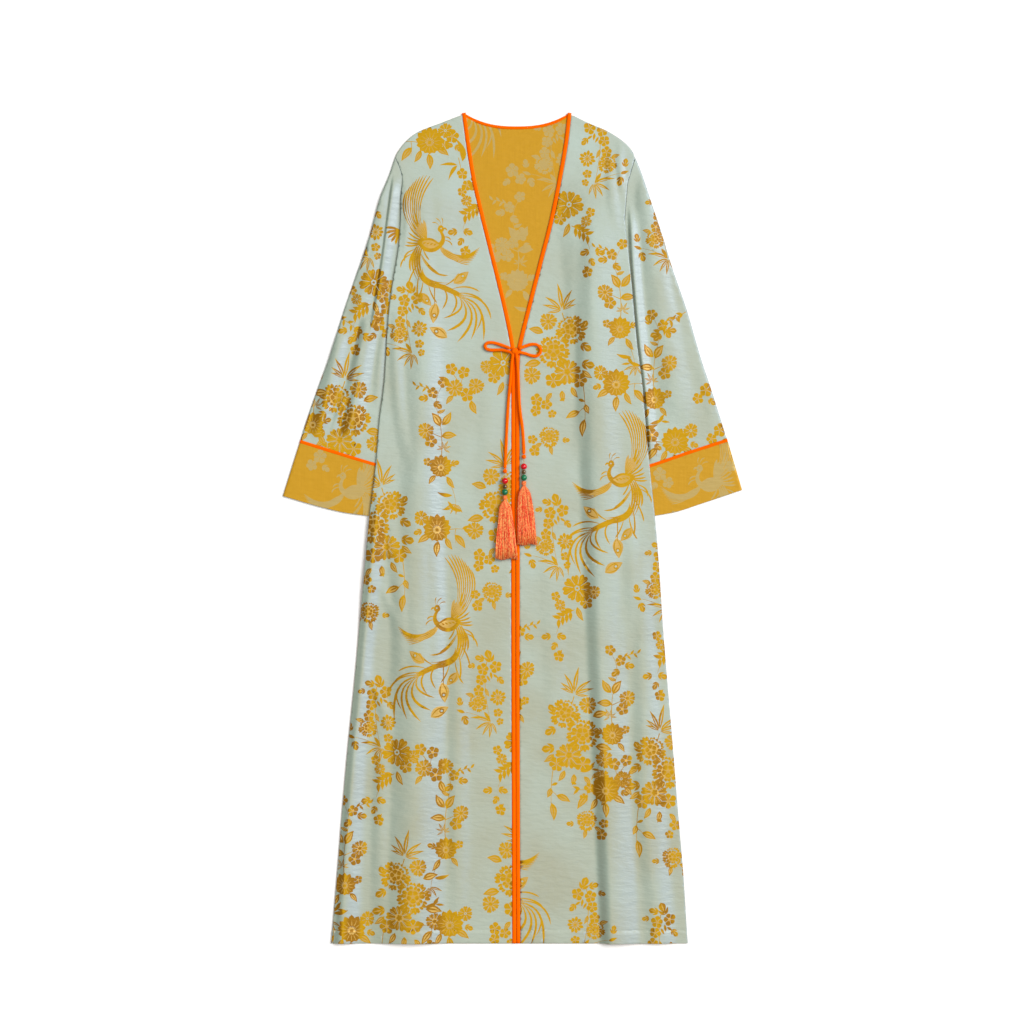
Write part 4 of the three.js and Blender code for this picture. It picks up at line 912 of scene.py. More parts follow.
def open_edges(triangles):
    """The edges that only one triangle has, each in that triangle's own direction."""
    edges = np.concatenate([triangles[:, [0, 1]], triangles[:, [1, 2]], triangles[:, [2, 0]]])
    codes = edges[:, 0] * (triangles.max() + 1) + edges[:, 1]
    backwards = edges[:, 1] * (triangles.max() + 1) + edges[:, 0]
    return edges[~np.isin(codes, backwards)]


def brocade_piece(name, layers, rolled=None):
    """A piece of brocade. Each layer has its points, triangles and tones, its heights, whether it faces up,
    and whether it shows the wrong side. Layers 0 and 1, and 2 and 3, are joined by a strip from each open
    edge of the first to the nearest points of the second, but not where both ends of the edge are rolled.
    Points that fall on each other become one."""
    points = np.concatenate([np.stack([layer[0].real, layer[0].imag, layer[3]], axis=1) for layer in layers])
    first = np.cumsum([0] + [len(layer[0]) for layer in layers])
    faces, tones, wrong = [], [], []
    for k, (_, triangles, tone, _, faces_up, wrong_side) in enumerate(layers):
        faces.append((triangles if faces_up else triangles[:, ::-1]) + first[k])
        tones.append(tone)
        wrong.append(np.full(len(tone), float(wrong_side)))
    for k in range(0, len(layers), 2):
        rim = open_edges(layers[k][1])
        if rolled is not None:
            rim = rim[~(rolled[rim[:, 0]] & rolled[rim[:, 1]])]
        match = rim
        if layers[k][1] is not layers[k + 1][1]:
            below = np.unique(open_edges(layers[k + 1][1]))
            match = below[np.abs(layers[k][0][rim][:, :, None] - layers[k + 1][0][below]).argmin(axis=2)]
        strip = np.stack([rim[:, 1] + first[k], rim[:, 0] + first[k],
                          match[:, 0] + first[k + 1], match[:, 1] + first[k + 1]], axis=1)
        faces += [strip[:, [0, 1, 2]], strip[:, [0, 2, 3]]]
        tones.append(np.zeros(2 * len(strip), int))
        wrong.append(np.full(2 * len(strip), float(layers[k][5])))
    faces = np.concatenate(faces)
    tones = np.concatenate(tones)
    wrong = np.concatenate(wrong)
    _, kept, same = np.unique(np.round(points, 3), axis=0, return_index=True, return_inverse=True)
    faces = same.reshape(-1)[faces]
    whole = (faces[:, 0] != faces[:, 1]) & (faces[:, 1] != faces[:, 2]) & (faces[:, 2] != faces[:, 0])
    piece = make_piece(name, points[kept], faces[whole])
    for label, values in (("gold", tones == GOLD), ("mixed", tones == MIXED), ("wrong_side", wrong)):
        attribute = piece.data.attributes.new(label, "FLOAT", "FACE")
        attribute.data.foreach_set("value", values[whole].astype(np.float32))
    return piece


def brocade_material():
    """Rayon and gilt brocade. The warp-faced ground is smooth and faintly ribbed down the cloth. Its colour
    has
    light and shade painted in by slope: slopes that face the right, towards the key light, take a blue-grey
    painted sheen, and those that face away from it a green painted shade. The gold weft floats are slubbed
    across it, and painted bronze on any slope, a painted shade for the sheen that floats lying across lose.
    Threads are drawn 0.8 mm apart, some six times the real ones."""
    thread = 1 / (0.8 * MM)
    slub = 1 / (26.0 * MM)
    material = new_material("celadon and gold brocade")
    gold, mixed, wrong = [add_node(material, "Attribute", out="Fac", attribute_name=label)
                          for label in ("gold", "mixed", "wrong_side")]
    place = add_node(material, "TexCoord", out="Object")
    weft = drawn_noise(material, place, (slub, thread, slub), 2.0)
    warp = drawn_noise(material, place, (thread, slub / 2, slub), 2.0)
    cloud = add_node(material, "TexNoise", {"Vector": place, "Scale": 1 / (110 * MM), "Detail": 2.0})
    crinkle = drawn_noise(material, place, (55, 150, 55), 3.0, slant=8)
    crinkled = add_node(material, "Bump", {"Height": crinkle, "Strength": 0.55, "Distance": 0.0016})
    # aside: how far the bumped surface faces the right, where the key light stands; light and shade are
    # painted by it below
    aside = add_node(material, "SeparateXYZ", {"Vector": crinkled}, "X")
    # Painted shade: the share by which the gold goes bronze on a slope
    painted_slope_shade = ranged(material, result_of(material, "ABSOLUTE", aside), 0.03, 0.22, high=0.85)
    upward = add_node(material, "SeparateXYZ", {"Vector": place}, "Y")
    patches = result_of(material, "ADD", ranged(material, cloud, 0.35, 0.65),
                        ranged(material, upward, -0.4, 0.5))
    patches = result_of(material, "MULTIPLY", patches, 0.5)
    ground = mixed_colour(material, patches, "#A5A893", "#AFBEB4")
    # Painted sheen: blue-grey on slopes that face the key light on the right
    ground = mixed_colour(material, ranged(material, aside, 0.0, 0.26, high=0.75), ground, "#9BA8AC")
    # Painted shade: green-grey on slopes that face away from the key light
    ground = mixed_colour(material, ranged(material, aside, -0.02, -0.3, high=0.6), ground, "#93A697")
    gilt = mixed_colour(material, weft, "#B48705", "#CA9C0E")
    # Painted shade: the gilt darkened to bronze on slopes
    gilt = mixed_colour(material, painted_slope_shade, gilt, "#86590C")
    pale = mixed_colour(material, weft, "#BA9440", "#C4A260")
    right = mixed_colour(material, mixed, mixed_colour(material, gold, ground, gilt), pale)
    gold_ground = mixed_colour(material, warp, "#B8870C", "#C89717")
    dull = mixed_colour(material, weft, "#B2954E", "#B9A46C")
    figure = result_of(material, "ADD", gold, mixed)
    back = mixed_colour(material, figure, gold_ground, dull)
    weave = add_node(material, "Bump", {"Height": result_of(material, "ADD", weft, warp), "Strength": 0.35,
                                        "Distance": 0.00012, "Normal": crinkled})
    gloss, shine, metal = [ranged(material, figure, low=low, high=high)
                           for low, high in ((0.44, 0.4), (0.28, 0.12), (0.1, 0.15))]
    return surfaced(material, base_color=mixed_colour(material, wrong, right, back), roughness=gloss,
                    metallic=metal, specular_ior_level=shine, sheen_weight=0.04, sheen_roughness=0.4,
                    normal=weave)


brocade = brocade_material()


def column(table, key, name, at):
    """One column of a table, read between its rows."""
    return read_between(table[key], table[name], at)


def ease(start, end, value):
    """Smooth step from 0 at the start to 1 at the end."""
    t = np.clip((np.asarray(value, float) - start) / (end - start), 0, 1)
    return t * t * (3 - 2 * t)


def mix(first, second, share):
    """The value at a share of the way from the first to the second."""
    return first + (second - first) * share


# Back: one full-length panel from shoulder to hem, wrong side up. Only its top shows, in the V. At its
# sides it rides up over the inner edges of the sleeves.
HEM_Y = -661.5
EDGE_INSET = 0.2
HEM_STITCH_Y = -641.0
SHOULDER_Y = 590.0
SHOULDER = {
    "share": [0, 0.07, 0.25, 0.43, 0.72, 1],
    "left": [-187 + 590j, -182.7 + 599j, -168.5 + 617j, -150 + 631j, -114.4 + 645j, -82 + 657.5j],
    "right": [195.2 + 590j, 190.4 + 601j, 176 + 616j, 153.2 + 631j, 121 + 645j, 95.6 + 657.5j],
}
ARMHOLE_IN_SIGHT_Y = 492.0
ARMHOLE = {
    "y": [590, 577, 563, 549, 533, 513, 492, 451, 414, 379],
    "left": [-187, -181.2, -176.7, -175.6, -177.2, -177.8, -178, -174.5, -169.8, -161.5],
    "right": [195.2, 191.8, 187.6, 183.5, 182, 180.4, 178.8, 174.5, 169.8, 161],
}
SIDE = {
    "y": [492, 445, 397, 352, 293, 233, 173, 104, 20, -60, -150, -250, -350, -450, -555, -661.5],
    "left": [-178, -181.7, -189.8, -196.2, -200.8, -204.2, -211.8, -217.5, -227.8, -235, -243.2, -252.2,
             -262.3, -271.2, -279.6, -288.7],
    "right": [178.8, 183.8, 189, 193, 198.5, 206.3, 211.5, 217.7, 226.6, 233.3, 239.3, 247.4, 255.8,
              263.8, 272.6, 279.4],
}
SLEEVE_TOP = 3.0
TUCK_LIFT = 3.8
BACK_TUCK = {"flat": 50, "fade": 85, "top_full": 505, "top_zero": 550, "low_full": -35, "low_zero": -110}
NECK_CENTRE_X = 6.7
NECK_DEPTH = 21
NECK_HALF = 84
NECK_POWER = 2.5
NECK_LOW_Y = 637.6
SIGN = {"left": -1, "right": 1}


def table_point(table, key, side, share):
    """A point of a table that holds points, read between its rows."""
    values = np.array([[p.real, p.imag] for p in table[side]])
    found = read_between(table[key], values, share)
    return found[..., 0] + 1j * found[..., 1]


def side_x(side, y):
    """Side edge of a front or of the back: the armhole seam, then the side seam."""
    return np.where(y > ARMHOLE_IN_SIGHT_Y, column(ARMHOLE, "y", side, y), column(SIDE, "y", side, y))


def tuck_lift(tuck, side, x, y):
    """Lift of a body panel over the sleeve under its side: full by the side, easing to none inwards, above
    and below."""
    inward = np.abs(side_x(side, y)) - np.abs(x)
    across = 1 - ease(tuck["flat"], tuck["fade"], inward)
    return TUCK_LIFT * across * (1 - ease(tuck["top_full"], tuck["top_zero"], y)) * ease(
        tuck["low_zero"], tuck["low_full"], y)


def neck_y(x):
    """Line of the bound back neck."""
    return NECK_LOW_Y + NECK_DEPTH * np.minimum(1, np.abs(x - NECK_CENTRE_X) / NECK_HALF) ** NECK_POWER


def rounded(line, points, radius=1.4, drop=0.4):
    """How far a cut edge is rounded off: a quarter circle's drop over the last of the cloth."""
    from_edge = np.clip(distance_to(line, points) / radius, 0, 1)
    return drop * (1 - np.sqrt(1 - (1 - from_edge) ** 2))


FIGURES_IN_NECK = [
    ("phoenix", -112, 745, 1), ("column", 50, 578, 1), ("twin", 8, 564, -1), ("leaves", 8, 392, 1),
    ("twin", 6, 462, 1), ("twin", -30, 440, -1),
]
FIGURES_ON_BACK = [
    ("column", -118, 548, -1), ("bouquet", 130, 480, 1), ("phoenix", -30, 470, -1), ("aster", 0, 620, 1),
    ("phoenix", 130, 190, 1), ("bouquet", -60, 200, -1), ("open", -160, 300, 1),
    ("leaves", -140, 0, 1), ("column", 180, 20, -1), ("phoenix", 30, -60, -1), ("bouquet", -200, -170, 1),
    ("open", 180, -150, -1), ("leaves", 80, -280, -1), ("phoenix", -110, -330, 1), ("bouquet", 160, -420, 1),
    ("column", -230, -420, 1), ("open", 0, -470, -1), ("bouquet", -110, -560, -1), ("leaves", 230, -580, 1),
]


def back_outline():
    """Hem, right side, right shoulder, back neck, left shoulder and left side, turning left."""
    hem_x = side_x("left", HEM_Y) + EDGE_INSET, side_x("right", HEM_Y) - EDGE_INSET
    hem = np.linspace(*hem_x, 96)[:-1] + 1j * HEM_Y
    y = np.linspace(HEM_Y, SHOULDER_Y, 210)
    right = (side_x("right", y) - EDGE_INSET + 1j * y)[:-1]
    share = np.linspace(0, 1, 26)
    right_shoulder = table_point(SHOULDER, "share", "right", share)[:-1]
    x = np.linspace(SHOULDER["right"][-1].real, SHOULDER["left"][-1].real, 40)
    aside = np.minimum(1, np.abs(x - NECK_CENTRE_X) / NECK_HALF)
    slope = NECK_DEPTH * NECK_POWER * aside ** (NECK_POWER - 1) / NECK_HALF
    neck = x + 1j * (neck_y(x) - 1.6 * np.sqrt(1 + slope ** 2))
    left_shoulder = table_point(SHOULDER, "share", "left", share[::-1])[1:-1]
    left = side_x("left", y[::-1]) + EDGE_INSET + 1j * y[::-1]
    return np.concatenate([hem, right, right_shoulder, neck, left_shoulder, left[:-1]])


back_edge = back_outline()


def back_lift(points):
    """Height of the underside of the back over the floor."""
    side_lifts = [tuck_lift(BACK_TUCK, side, points.real, points.imag) for side in SIGN]
    return np.where(points.real < NECK_CENTRE_X, *side_lifts)


closed = np.append(back_edge, back_edge[0])
flat_under, triangles_under, tone_under = woven(back_edge, laid_out(FIGURES_ON_BACK), 8.0)
edge_points = flat_under[np.unique(open_edges(triangles_under))]
flat, triangles, tone = woven(back_edge, laid_out(FIGURES_IN_NECK), 8.0, edge_points)
back = brocade_piece("back_cloth", [
    (flat, triangles, tone, back_lift(flat) + CLOTH - rounded(closed, flat), True, True),
    (flat_under, triangles_under, tone_under, back_lift(flat_under) + rounded(closed, flat_under), False,
     False)])
dress(back, brocade, "celadon_brocade", "back_panel")

# Fronts: two full-length panels sewn to the back at the shoulders and sides, open down the middle. Their
# edges are straight-cut and bound; soft folds run down them from the chest.
FRONT_EDGE = {
    "y": [661.1, 610, 555, 491, 420, 352, 296, 270, 204, -120, -274, -661.5],
    "left": [-77.5, -70.6, -61.6, -46.9, -29.2, -12.8, -1.3, 1.1, 1.3, 1.1, 1.5, 2.7],
    "right": [90.9, 84.8, 75.1, 62.1, 43.9, 26.6, 12.8, 8.3, 8, 8.2, 8.1, 9.3],
}
BINDING_HALF = 3.1
HEM_EXTRA = 0.6
FRONT_TUCK = {"flat": 58, "fade": 116, "top_full": 512, "top_zero": 582, "low_full": -70, "low_zero": -200}
FOLD_COLUMNS = ("top", "middle", "low", "height_top", "height_low", "outer_top", "outer_low", "inner_top",
                "inner_low", "fade")
FRONT_FOLDS = {
    "left": [
        (-139 + 400j, -141 + 100j, -160 - 661.5j, 3, 9, 34, 64, 30, 58, 150),
        (-210 + 90j, -250 - 274j, -272 - 661.5j, 4, 6, 14, 17, 22, 30, 120),
    ],
    "right": [
        (140 + 570j, 125.5 + 300j, 158.6 - 661.5j, 2.5, 9.5, 44, 62, 30, 20, 150),
        (196 + 40j, 210 - 250j, 232 - 661.5j, 3, 5, 24, 32, 28, 34, 160),
    ],
}


def fold_height(fold, x, y):
    """Height of one soft fold: a ridge line through three points, a bell across it that is wider on one
    side, and an ease in at its top and out at its low end."""
    row = dict(zip(FOLD_COLUMNS, fold))
    spine = [row["top"], row["middle"], row["low"]]
    ridge_x = read_between([p.imag for p in spine], [p.real for p in spine], y)
    down = np.clip((spine[0].imag - y) / (spine[0].imag - spine[2].imag), 0, 1)
    away = (x - ridge_x) * np.sign(spine[0].real)
    outer = mix(row["outer_top"], row["outer_low"], down)
    inner = mix(row["inner_top"], row["inner_low"], down)
    t = np.minimum(1, np.abs(away) / np.where(away > 0, outer, inner))
    fade_in = ease(spine[0].imag, spine[0].imag - row["fade"], y)
    fade_out = ease(spine[2].imag, spine[2].imag + row["fade"], y) if spine[2].imag > HEM_Y else 1
    return mix(row["height_top"], row["height_low"], down) * (1 - t * t) ** 2 * fade_in * fade_out


CREASES = {
    "left": [
        (-146 + 540j, -142 + 330j, 4, 1.6, 20), (-82 - 60j, -84 - 640j, -3, 1.8, 20),
        (-204 - 290j, -212 - 650j, -2, 2.4, 17), (-176 + 560j, -172 + 440j, 5, 1.6, 9),
        (-128 + 60j, -120 - 330j, 5, 1.4, 16), (-184 + 340j, -170 + 120j, -6, 2.2, 14),
        (-40 + 240j, -46 - 20j, 4, 0.7, 22),
        (-196 + 20j, -182 - 240j, 8, 1.8, 16), (-232 - 230j, -196 - 330j, 6, 1.3, 12),
        (-212 - 90j, -186 - 160j, 4, 1.1, 10),
    ],
    "right": [
        (172 + 606j, 180 + 530j, -4, 2.2, 9), (160 + 600j, 168 + 480j, -6, 1.4, 12),
        (92 + 470j, 96 + 300j, 4, 1.0, 20),
        (182 + 100j, 178 - 220j, 5, 1.6, 18), (60 - 40j, 66 - 420j, 4, 0.9, 24),
        (206 - 300j, 216 - 560j, -6, 1.6, 18),
        (110 + 330j, 104 + 120j, 3, 1.0, 12), (196 + 420j, 192 + 260j, 3, 1.2, 10),
    ],
}


def crease_height(crease, points):
    """Height of a small crease: a ridge from one point to another, bowed sideways, fading to both ends."""
    start, end, bow, height, width = crease
    run = end - start
    local = (points - start) * np.conj(run) / np.abs(run)
    share = np.clip(local.real / np.abs(run), 0, 1)
    away = (local.imag - bow * 4 * share * (1 - share)) / width
    beyond = local.real - share * np.abs(run)
    t = np.minimum(1, np.sqrt(away ** 2 + (beyond / width) ** 2))
    return height * (1 - t * t) ** 2 * np.sin(np.pi * (0.08 + 0.84 * share)) ** 0.8


def front_height(side, points):
    """Height of the underside of a front over the floor."""
    x, y = points.real, points.imag
    from_side = ease(0, 12, np.abs(side_x(side, y)) - np.abs(x))
    folds = sum(fold_height(fold, x, y) for fold in FRONT_FOLDS[side])
    creases = sum(crease_height(crease, points) for crease in CREASES[side])
    from_edge = ease(4, 16, np.abs(x - column(FRONT_EDGE, "y", side, y)))
    return FRONT_LOW + tuck_lift(FRONT_TUCK, side, x, y) + (folds + creases * from_edge) * from_side


def upright_thickness(height, points):
    """Thickness straight up that keeps the cloth's own thickness square to a slope."""
    step = 2.0
    across = (height(points + step) - height(points - step)) / (2 * step)
    down = (height(points + 1j * step) - height(points - 1j * step)) / (2 * step)
    return CLOTH * np.sqrt(1 + across ** 2 + down ** 2)


def front_outline(side):
    """Hem, side, shoulder and bound edge; turned left whichever front it is."""
    sign = SIGN[side]
    y = np.linspace(HEM_Y, SHOULDER_Y, 210)
    outer = side_x(side, y) - sign * EDGE_INSET + 1j * y
    share = np.linspace(0, 1, 26)
    shoulder = table_point(SHOULDER, "share", side, share)[1:-1]
    down = np.linspace(SHOULDER[side][-1].imag, HEM_Y, 221)
    slope = (column(FRONT_EDGE, "y", side, down + 3) - column(FRONT_EDGE, "y", side, down - 3)) / 6
    free_edge = column(FRONT_EDGE, "y", side, down)
    inner = free_edge + sign * (BINDING_HALF + 0.1) * np.sqrt(1 + slope ** 2) + 1j * down
    hem = np.linspace(inner[-1].real, outer[0].real, 48)[1:-1] + 1j * HEM_Y
    loop = np.concatenate([outer, shoulder, inner, hem])
    return loop if side == "right" else loop[::-1]


FIGURES_ON_FRONT = {
    "left": [
        ("aster", -132, 614, -1), ("twin", -104, 618, 1), ("edge", -86, 590, 1), ("open", -46, 548, 1),
        ("phoenix", -128, 454, 1), ("column", -180, 308, 1),
        ("spray", -92, 223, 1), ("open", -15, 263, -1), ("leaves", -114, 96, 1), ("bouquet", -222, 2, 1),
        ("aster", -120, -3, 1), ("phoenix", -106, -150, -1), ("column", -55, -279, 1),
        ("column", -230, -319, 1),
        ("bouquet", -26, 34, 1), ("open", -184, -357, 1), ("open", 10, -341, 1), ("spray", -141, -382, 1),
        ("leaves", -106, -513, -1), ("leaves", -267, -569, -1), ("bouquet", -158, -588, -1),
        ("bouquet", -1, -561, 1), ("aster", -100, -633, -1), ("aster", -256, -641, -1),
    ],
    "right": [
        ("column", 151, 579, -1), ("open", 90, 515, -1), ("leaves", 171, 316, 1), ("bouquet", 65, 281, 1),
        ("aster", 165, 228, 1), ("phoenix", 171, 80, -1), ("column", 52, -30, 1), ("open", 103, -96, 1),
        ("leaves", 159, -330, -1), ("column", 226, -99, 1), ("bouquet", 112, -330, -1),
        ("bouquet", 248, -389, -1),
        ("column", 222, -681, 1), ("column", 132, -641, -1), ("phoenix", -33, -510, 1),
        ("leaves", -1, -284, -1),
        ("open", 264, -159, 1), ("spray", 176, -400, -1), ("aster", 148, -418, -1),
    ],
}
for side in ("left", "right"):
    outline = front_outline(side)
    closed = np.append(outline, outline[0])
    hem_x = np.arange(outline.real.min(), outline.real.max(), 3.2)
    by_hem_stitch = (hem_x + 1j * (HEM_STITCH_Y + np.array([[-1.8], [0.0], [1.8]]))).ravel()
    flat, triangles, tone = woven(outline, laid_out(FIGURES_ON_FRONT[side]), 4.4, on_ridges=by_hem_stitch)
    thick = upright_thickness(lambda points: front_height(side, points), flat)
    turned_hem = HEM_EXTRA * ease(HEM_STITCH_Y + 1, HEM_STITCH_Y - 1, flat.imag)
    stitch_dip = 0.45 * np.exp(-((flat.imag - HEM_STITCH_Y) / 1.2) ** 2)
    high = front_height(side, flat) + thick + turned_hem - stitch_dip - rounded(closed, flat)
    edge_points = flat[np.unique(open_edges(triangles))]
    flat_under, triangles_under, tone_under = woven(outline, [], 8.0, edge_points)
    low = front_height(side, flat_under) + rounded(closed, flat_under)
    front = brocade_piece(f"front_cloth_{side}", [
        (flat, triangles, tone, high, True, False),
        (flat_under, triangles_under, tone_under, low, False, True)])
    dress(front, brocade, "celadon_brocade", f"front_{side}")

# Sleeves: each cut in one piece, closed under the arm and sewn into the armhole. Laid flat, a sleeve is
# two layers deep, rolled at its outer and inner edges; its inner edge lies under the side of the body.
SLEEVE_EDGE = {
    "y": [590, 563, 524, 463, 410, 350, 268, 231, 180, 138],
    "left": [-187.4, -196.3, -211.8, -228.4, -246.4, -267.3, -293.4, -307, -325, -338.5],
    "right": [195.7, 206.5, 219.5, 239.7, 256, 276.8, 300.8, 313.2, 329.4, 342.5],
}
CUFF_TOP = {
    "share": [0, 0.4, 0.82, 1],
    "left": [-338.5 + 138j, -280.9 + 119.9j, -216 + 100.4j, -190.5 + 95j],
    "right": [342.5 + 140j, 280 + 119.9j, 217.6 + 98.8j, 190.5 + 94j],
}
CUFF_LOW = {
    "share": [0, 0.36, 0.6, 0.84, 1],
    "left": [-365.8 + 51j, -307.2 + 34j, -267.6 + 24.7j, -227.9 + 19.1j, -201.6 + 15.9j],
    "right": [365.8 + 60.6j, 302.7 + 39.4j, 263 + 26.4j, 227.1 + 19.7j, 201.6 + 15.9j],
}
UNDERARM_Y = 379.0
PIPING_WIDTH = 5.0
SLEEVE_FOLDS = {
    "left": [
        (-203 + 575j, -214 + 460j, -256 + 300j, 2, 2.5, 18, 24, 14, 18, 60),
        (-222 + 360j, -243 + 240j, -262 + 130j, 5, 6, 16, 20, 18, 22, 50),
        (-266 + 330j, -288 + 240j, -312 + 130j, 4, 4, 16, 20, 14, 18, 50),
    ],
    "right": [(207 + 575j, 224 + 440j, 272 + 150j, 3.5, 2.5, 18, 34, 22, 36, 60)],
}
SLEEVE_RIDGES = {
    "left": [(-188 + 566j, -206 + 427j, -226 + 300j, 5.0, 2.6, 3.6, 5, 14, 18, 40)],
    "right": [(187 + 520j, 195 + 370j, 222 + 90j, 4.8, 4.4, 14, 18, 5, 5.5, 60)],
}
SLEEVE_CREASES = {
    "left": [
        (-226 + 500j, -246 + 400j, 4, 1.2, 8),
        (-196 + 330j, -214 + 200j, -5, 1.4, 10), (-236 + 330j, -288 + 150j, 6, 2.0, 8),
        (-272 + 250j, -290 + 150j, 4, 1.2, 12), (-300 + 190j, -262 + 170j, 2, 0.8, 7),
        (-199 + 300j, -206 + 120j, 2, 1.6, 6),
    ],
    "right": [
        (240 + 430j, 262 + 320j, -4, 0.5, 12), (296 + 260j, 318 + 165j, 4, 0.6, 12),
    ],
}
FIGURES_ON_SLEEVE = {
    "left": [
        ("wing", -176, 472, 1), ("column", -250, 462, 1), ("open", -221, 391, 1), ("twin", -208, 344, 1),
        ("twin", -205, 318, -1), ("bouquet", -253, 172, -1), ("leaves", -318, 164, 1),
        ("sprig", -262, 316, -1),
    ],
    "right": [
        ("column", 227, 459, 1), ("leaves", 226, 204, -1), ("aster", 259, 136, -1), ("twin", 300, 214, 1),
        ("sprig", 258, 322, 1), ("twin", 322, 150, 1), ("twin", 214, 142, 1),
    ],
}
FIGURES_ON_CUFF = {
    "left": [("phoenix", -256, 61, -1), ("twin", -315, 108, 1)],
    "right": [("phoenix", 312, 73, -1), ("twin", 243, 80, -1), ("twin", 352, 106, 1)],
}


def along_cuff(side, share, distance):
    """Point at a share across the cuff seam and a distance down the sleeve from it."""
    seam = table_point(CUFF_TOP, "share", side, share)
    axis = table_point(CUFF_LOW, "share", side, share) - seam
    return seam + distance * axis / np.abs(axis)


def tube_of_cloth(name, outline, rolled, figures, height, outside_wrong, ridges=()):
    """A flat tube of brocade: two cloths over one outline, one within the other. Its rolled edges sink to
    mid height like half rounds, where upper and lower layers meet; elsewhere it is open."""
    roll = 1.8
    flat, triangles, tone = woven(outline, figures, 4.0, on_ridges=ridges)
    to_roll = np.min([distance_to(line, flat) for line in rolled], axis=0)
    to_roll[to_roll < 0.002] = 0
    nearest = np.argmin(np.abs(flat[:, None] - outline), axis=1)
    run = np.roll(outline, -1) - np.roll(outline, 1)
    inward = (1j * run / np.abs(run))[nearest]
    draw_in = inward * CLOTH * np.clip(1 - to_roll / 4, 0, 1)
    shape = np.sqrt(1 - (1 - np.clip(to_roll / roll, 0, 1)) ** 2)
    middle = SLEEVE_TOP / 2
    folds = height(flat) * shape
    within = flat + draw_in
    return brocade_piece(name, [
        (flat, triangles, tone, middle + middle * shape + folds, True, outside_wrong),
        (within, triangles, tone, middle + (middle - CLOTH) * shape + folds, False, not outside_wrong),
        (within, triangles, tone, middle - (middle - CLOTH) * shape, True, not outside_wrong),
        (flat, triangles, tone, middle - middle * shape, False, outside_wrong),
    ], to_roll == 0)


def sleeve_outline(side):
    """Armhole seam downwards, under-arm edge, cuff seam and outer edge; turned left whichever sleeve it is.
    The lines that are rolled edges come with it."""
    sign = SIGN[side]
    down = np.linspace(SHOULDER_Y, UNDERARM_Y, 60)
    armhole = column(ARMHOLE, "y", side, down) + sign * EDGE_INSET + 1j * down
    seam = along_cuff(side, np.linspace(1, 0, 48), -PIPING_WIDTH / 2)
    under_arm = armhole[-1] + (seam[0] - armhole[-1]) * np.linspace(0, 1, 70)
    up = np.linspace(seam[-1].imag, SHOULDER_Y, 100)[:-1]
    outer = np.append(column(SLEEVE_EDGE, "y", side, up) + 1j * up, armhole[0])
    outer[0] = seam[-1]
    loop = np.concatenate([armhole[:-1], under_arm[:-1], seam[:-1], outer[:-1]])
    return (loop if side == "right" else loop[::-1]), [under_arm, outer]


def sleeve_height(side, points):
    """Folds of the upper layer, which stop short of the side of the body that lies on it."""
    x, y = points.real, points.imag
    clear = np.abs(x) - np.abs(side_x(side, np.minimum(y, SHOULDER_Y)))
    folds = sum(fold_height(fold, x, y) for fold in SLEEVE_FOLDS[side])
    creases = sum(crease_height(crease, points) for crease in SLEEVE_CREASES[side])
    ridges = sum(fold_height(ridge, x, y) for ridge in SLEEVE_RIDGES[side])
    return folds * ease(9, 22, clear) + (creases + ridges) * ease(0, 4, clear)


def ridge_points(side):
    """Rows of points 2.5 mm apart down the slopes of the sharp ridges, for the mesh to follow."""
    found = []
    for ridge in SLEEVE_RIDGES[side]:
        row = dict(zip(FOLD_COLUMNS, ridge))
        y = np.arange(row["low"].imag, row["top"].imag, 2.5)
        spine = read_between([row[k].imag for k in ("top", "middle", "low")],
                             [row[k].real for k in ("top", "middle", "low")], y)
        sharp = min(row["inner_top"], row["outer_top"])
        for step in np.arange(-1.25, 1.3, 0.25):
            found.append(spine + step * sharp + 1j * (y + 1.25 * (round(4 * step) % 2)))
    return np.concatenate(found)


for side in ("left", "right"):
    outline, rolled = sleeve_outline(side)
    sleeve = tube_of_cloth(f"sleeve_cloth_{side}", outline, rolled, laid_out(FIGURES_ON_SLEEVE[side]),
                           lambda points: sleeve_height(side, points), False, ridge_points(side))
    dress(sleeve, brocade, "celadon_brocade", f"sleeve_{side}")

# Cuffs: deep straight bands of the same brocade, sewn on with its gold wrong side out and turned in at the
# open end.
for side in ("left", "right"):
    share = np.linspace(0, 1, 48)
    top = along_cuff(side, share, PIPING_WIDTH / 2)
    end = table_point(CUFF_LOW, "share", side, share)
    sides = [top[0] + (end[0] - top[0]) * np.linspace(0, 1, 30),
             end[-1] + (top[-1] - end[-1]) * np.linspace(0, 1, 30)]
    loop = np.concatenate([sides[0][:-1], end[:-1], sides[1][:-1], top[::-1][:-1]])
    cuff = tube_of_cloth(f"cuff_cloth_{side}", loop if side == "left" else loop[::-1], sides,
                         laid_out(FIGURES_ON_CUFF[side]), lambda points: 0 * points.real, True)
    dress(cuff, brocade, "gold_brocade", f"cuff_{side}")

# Cuff piping: a narrow orange satin fold caught in each cuff seam, all round the sleeve. On the upper side it
# swells half a millimetre above the cloth.
PIPING_PROUD = 0.5


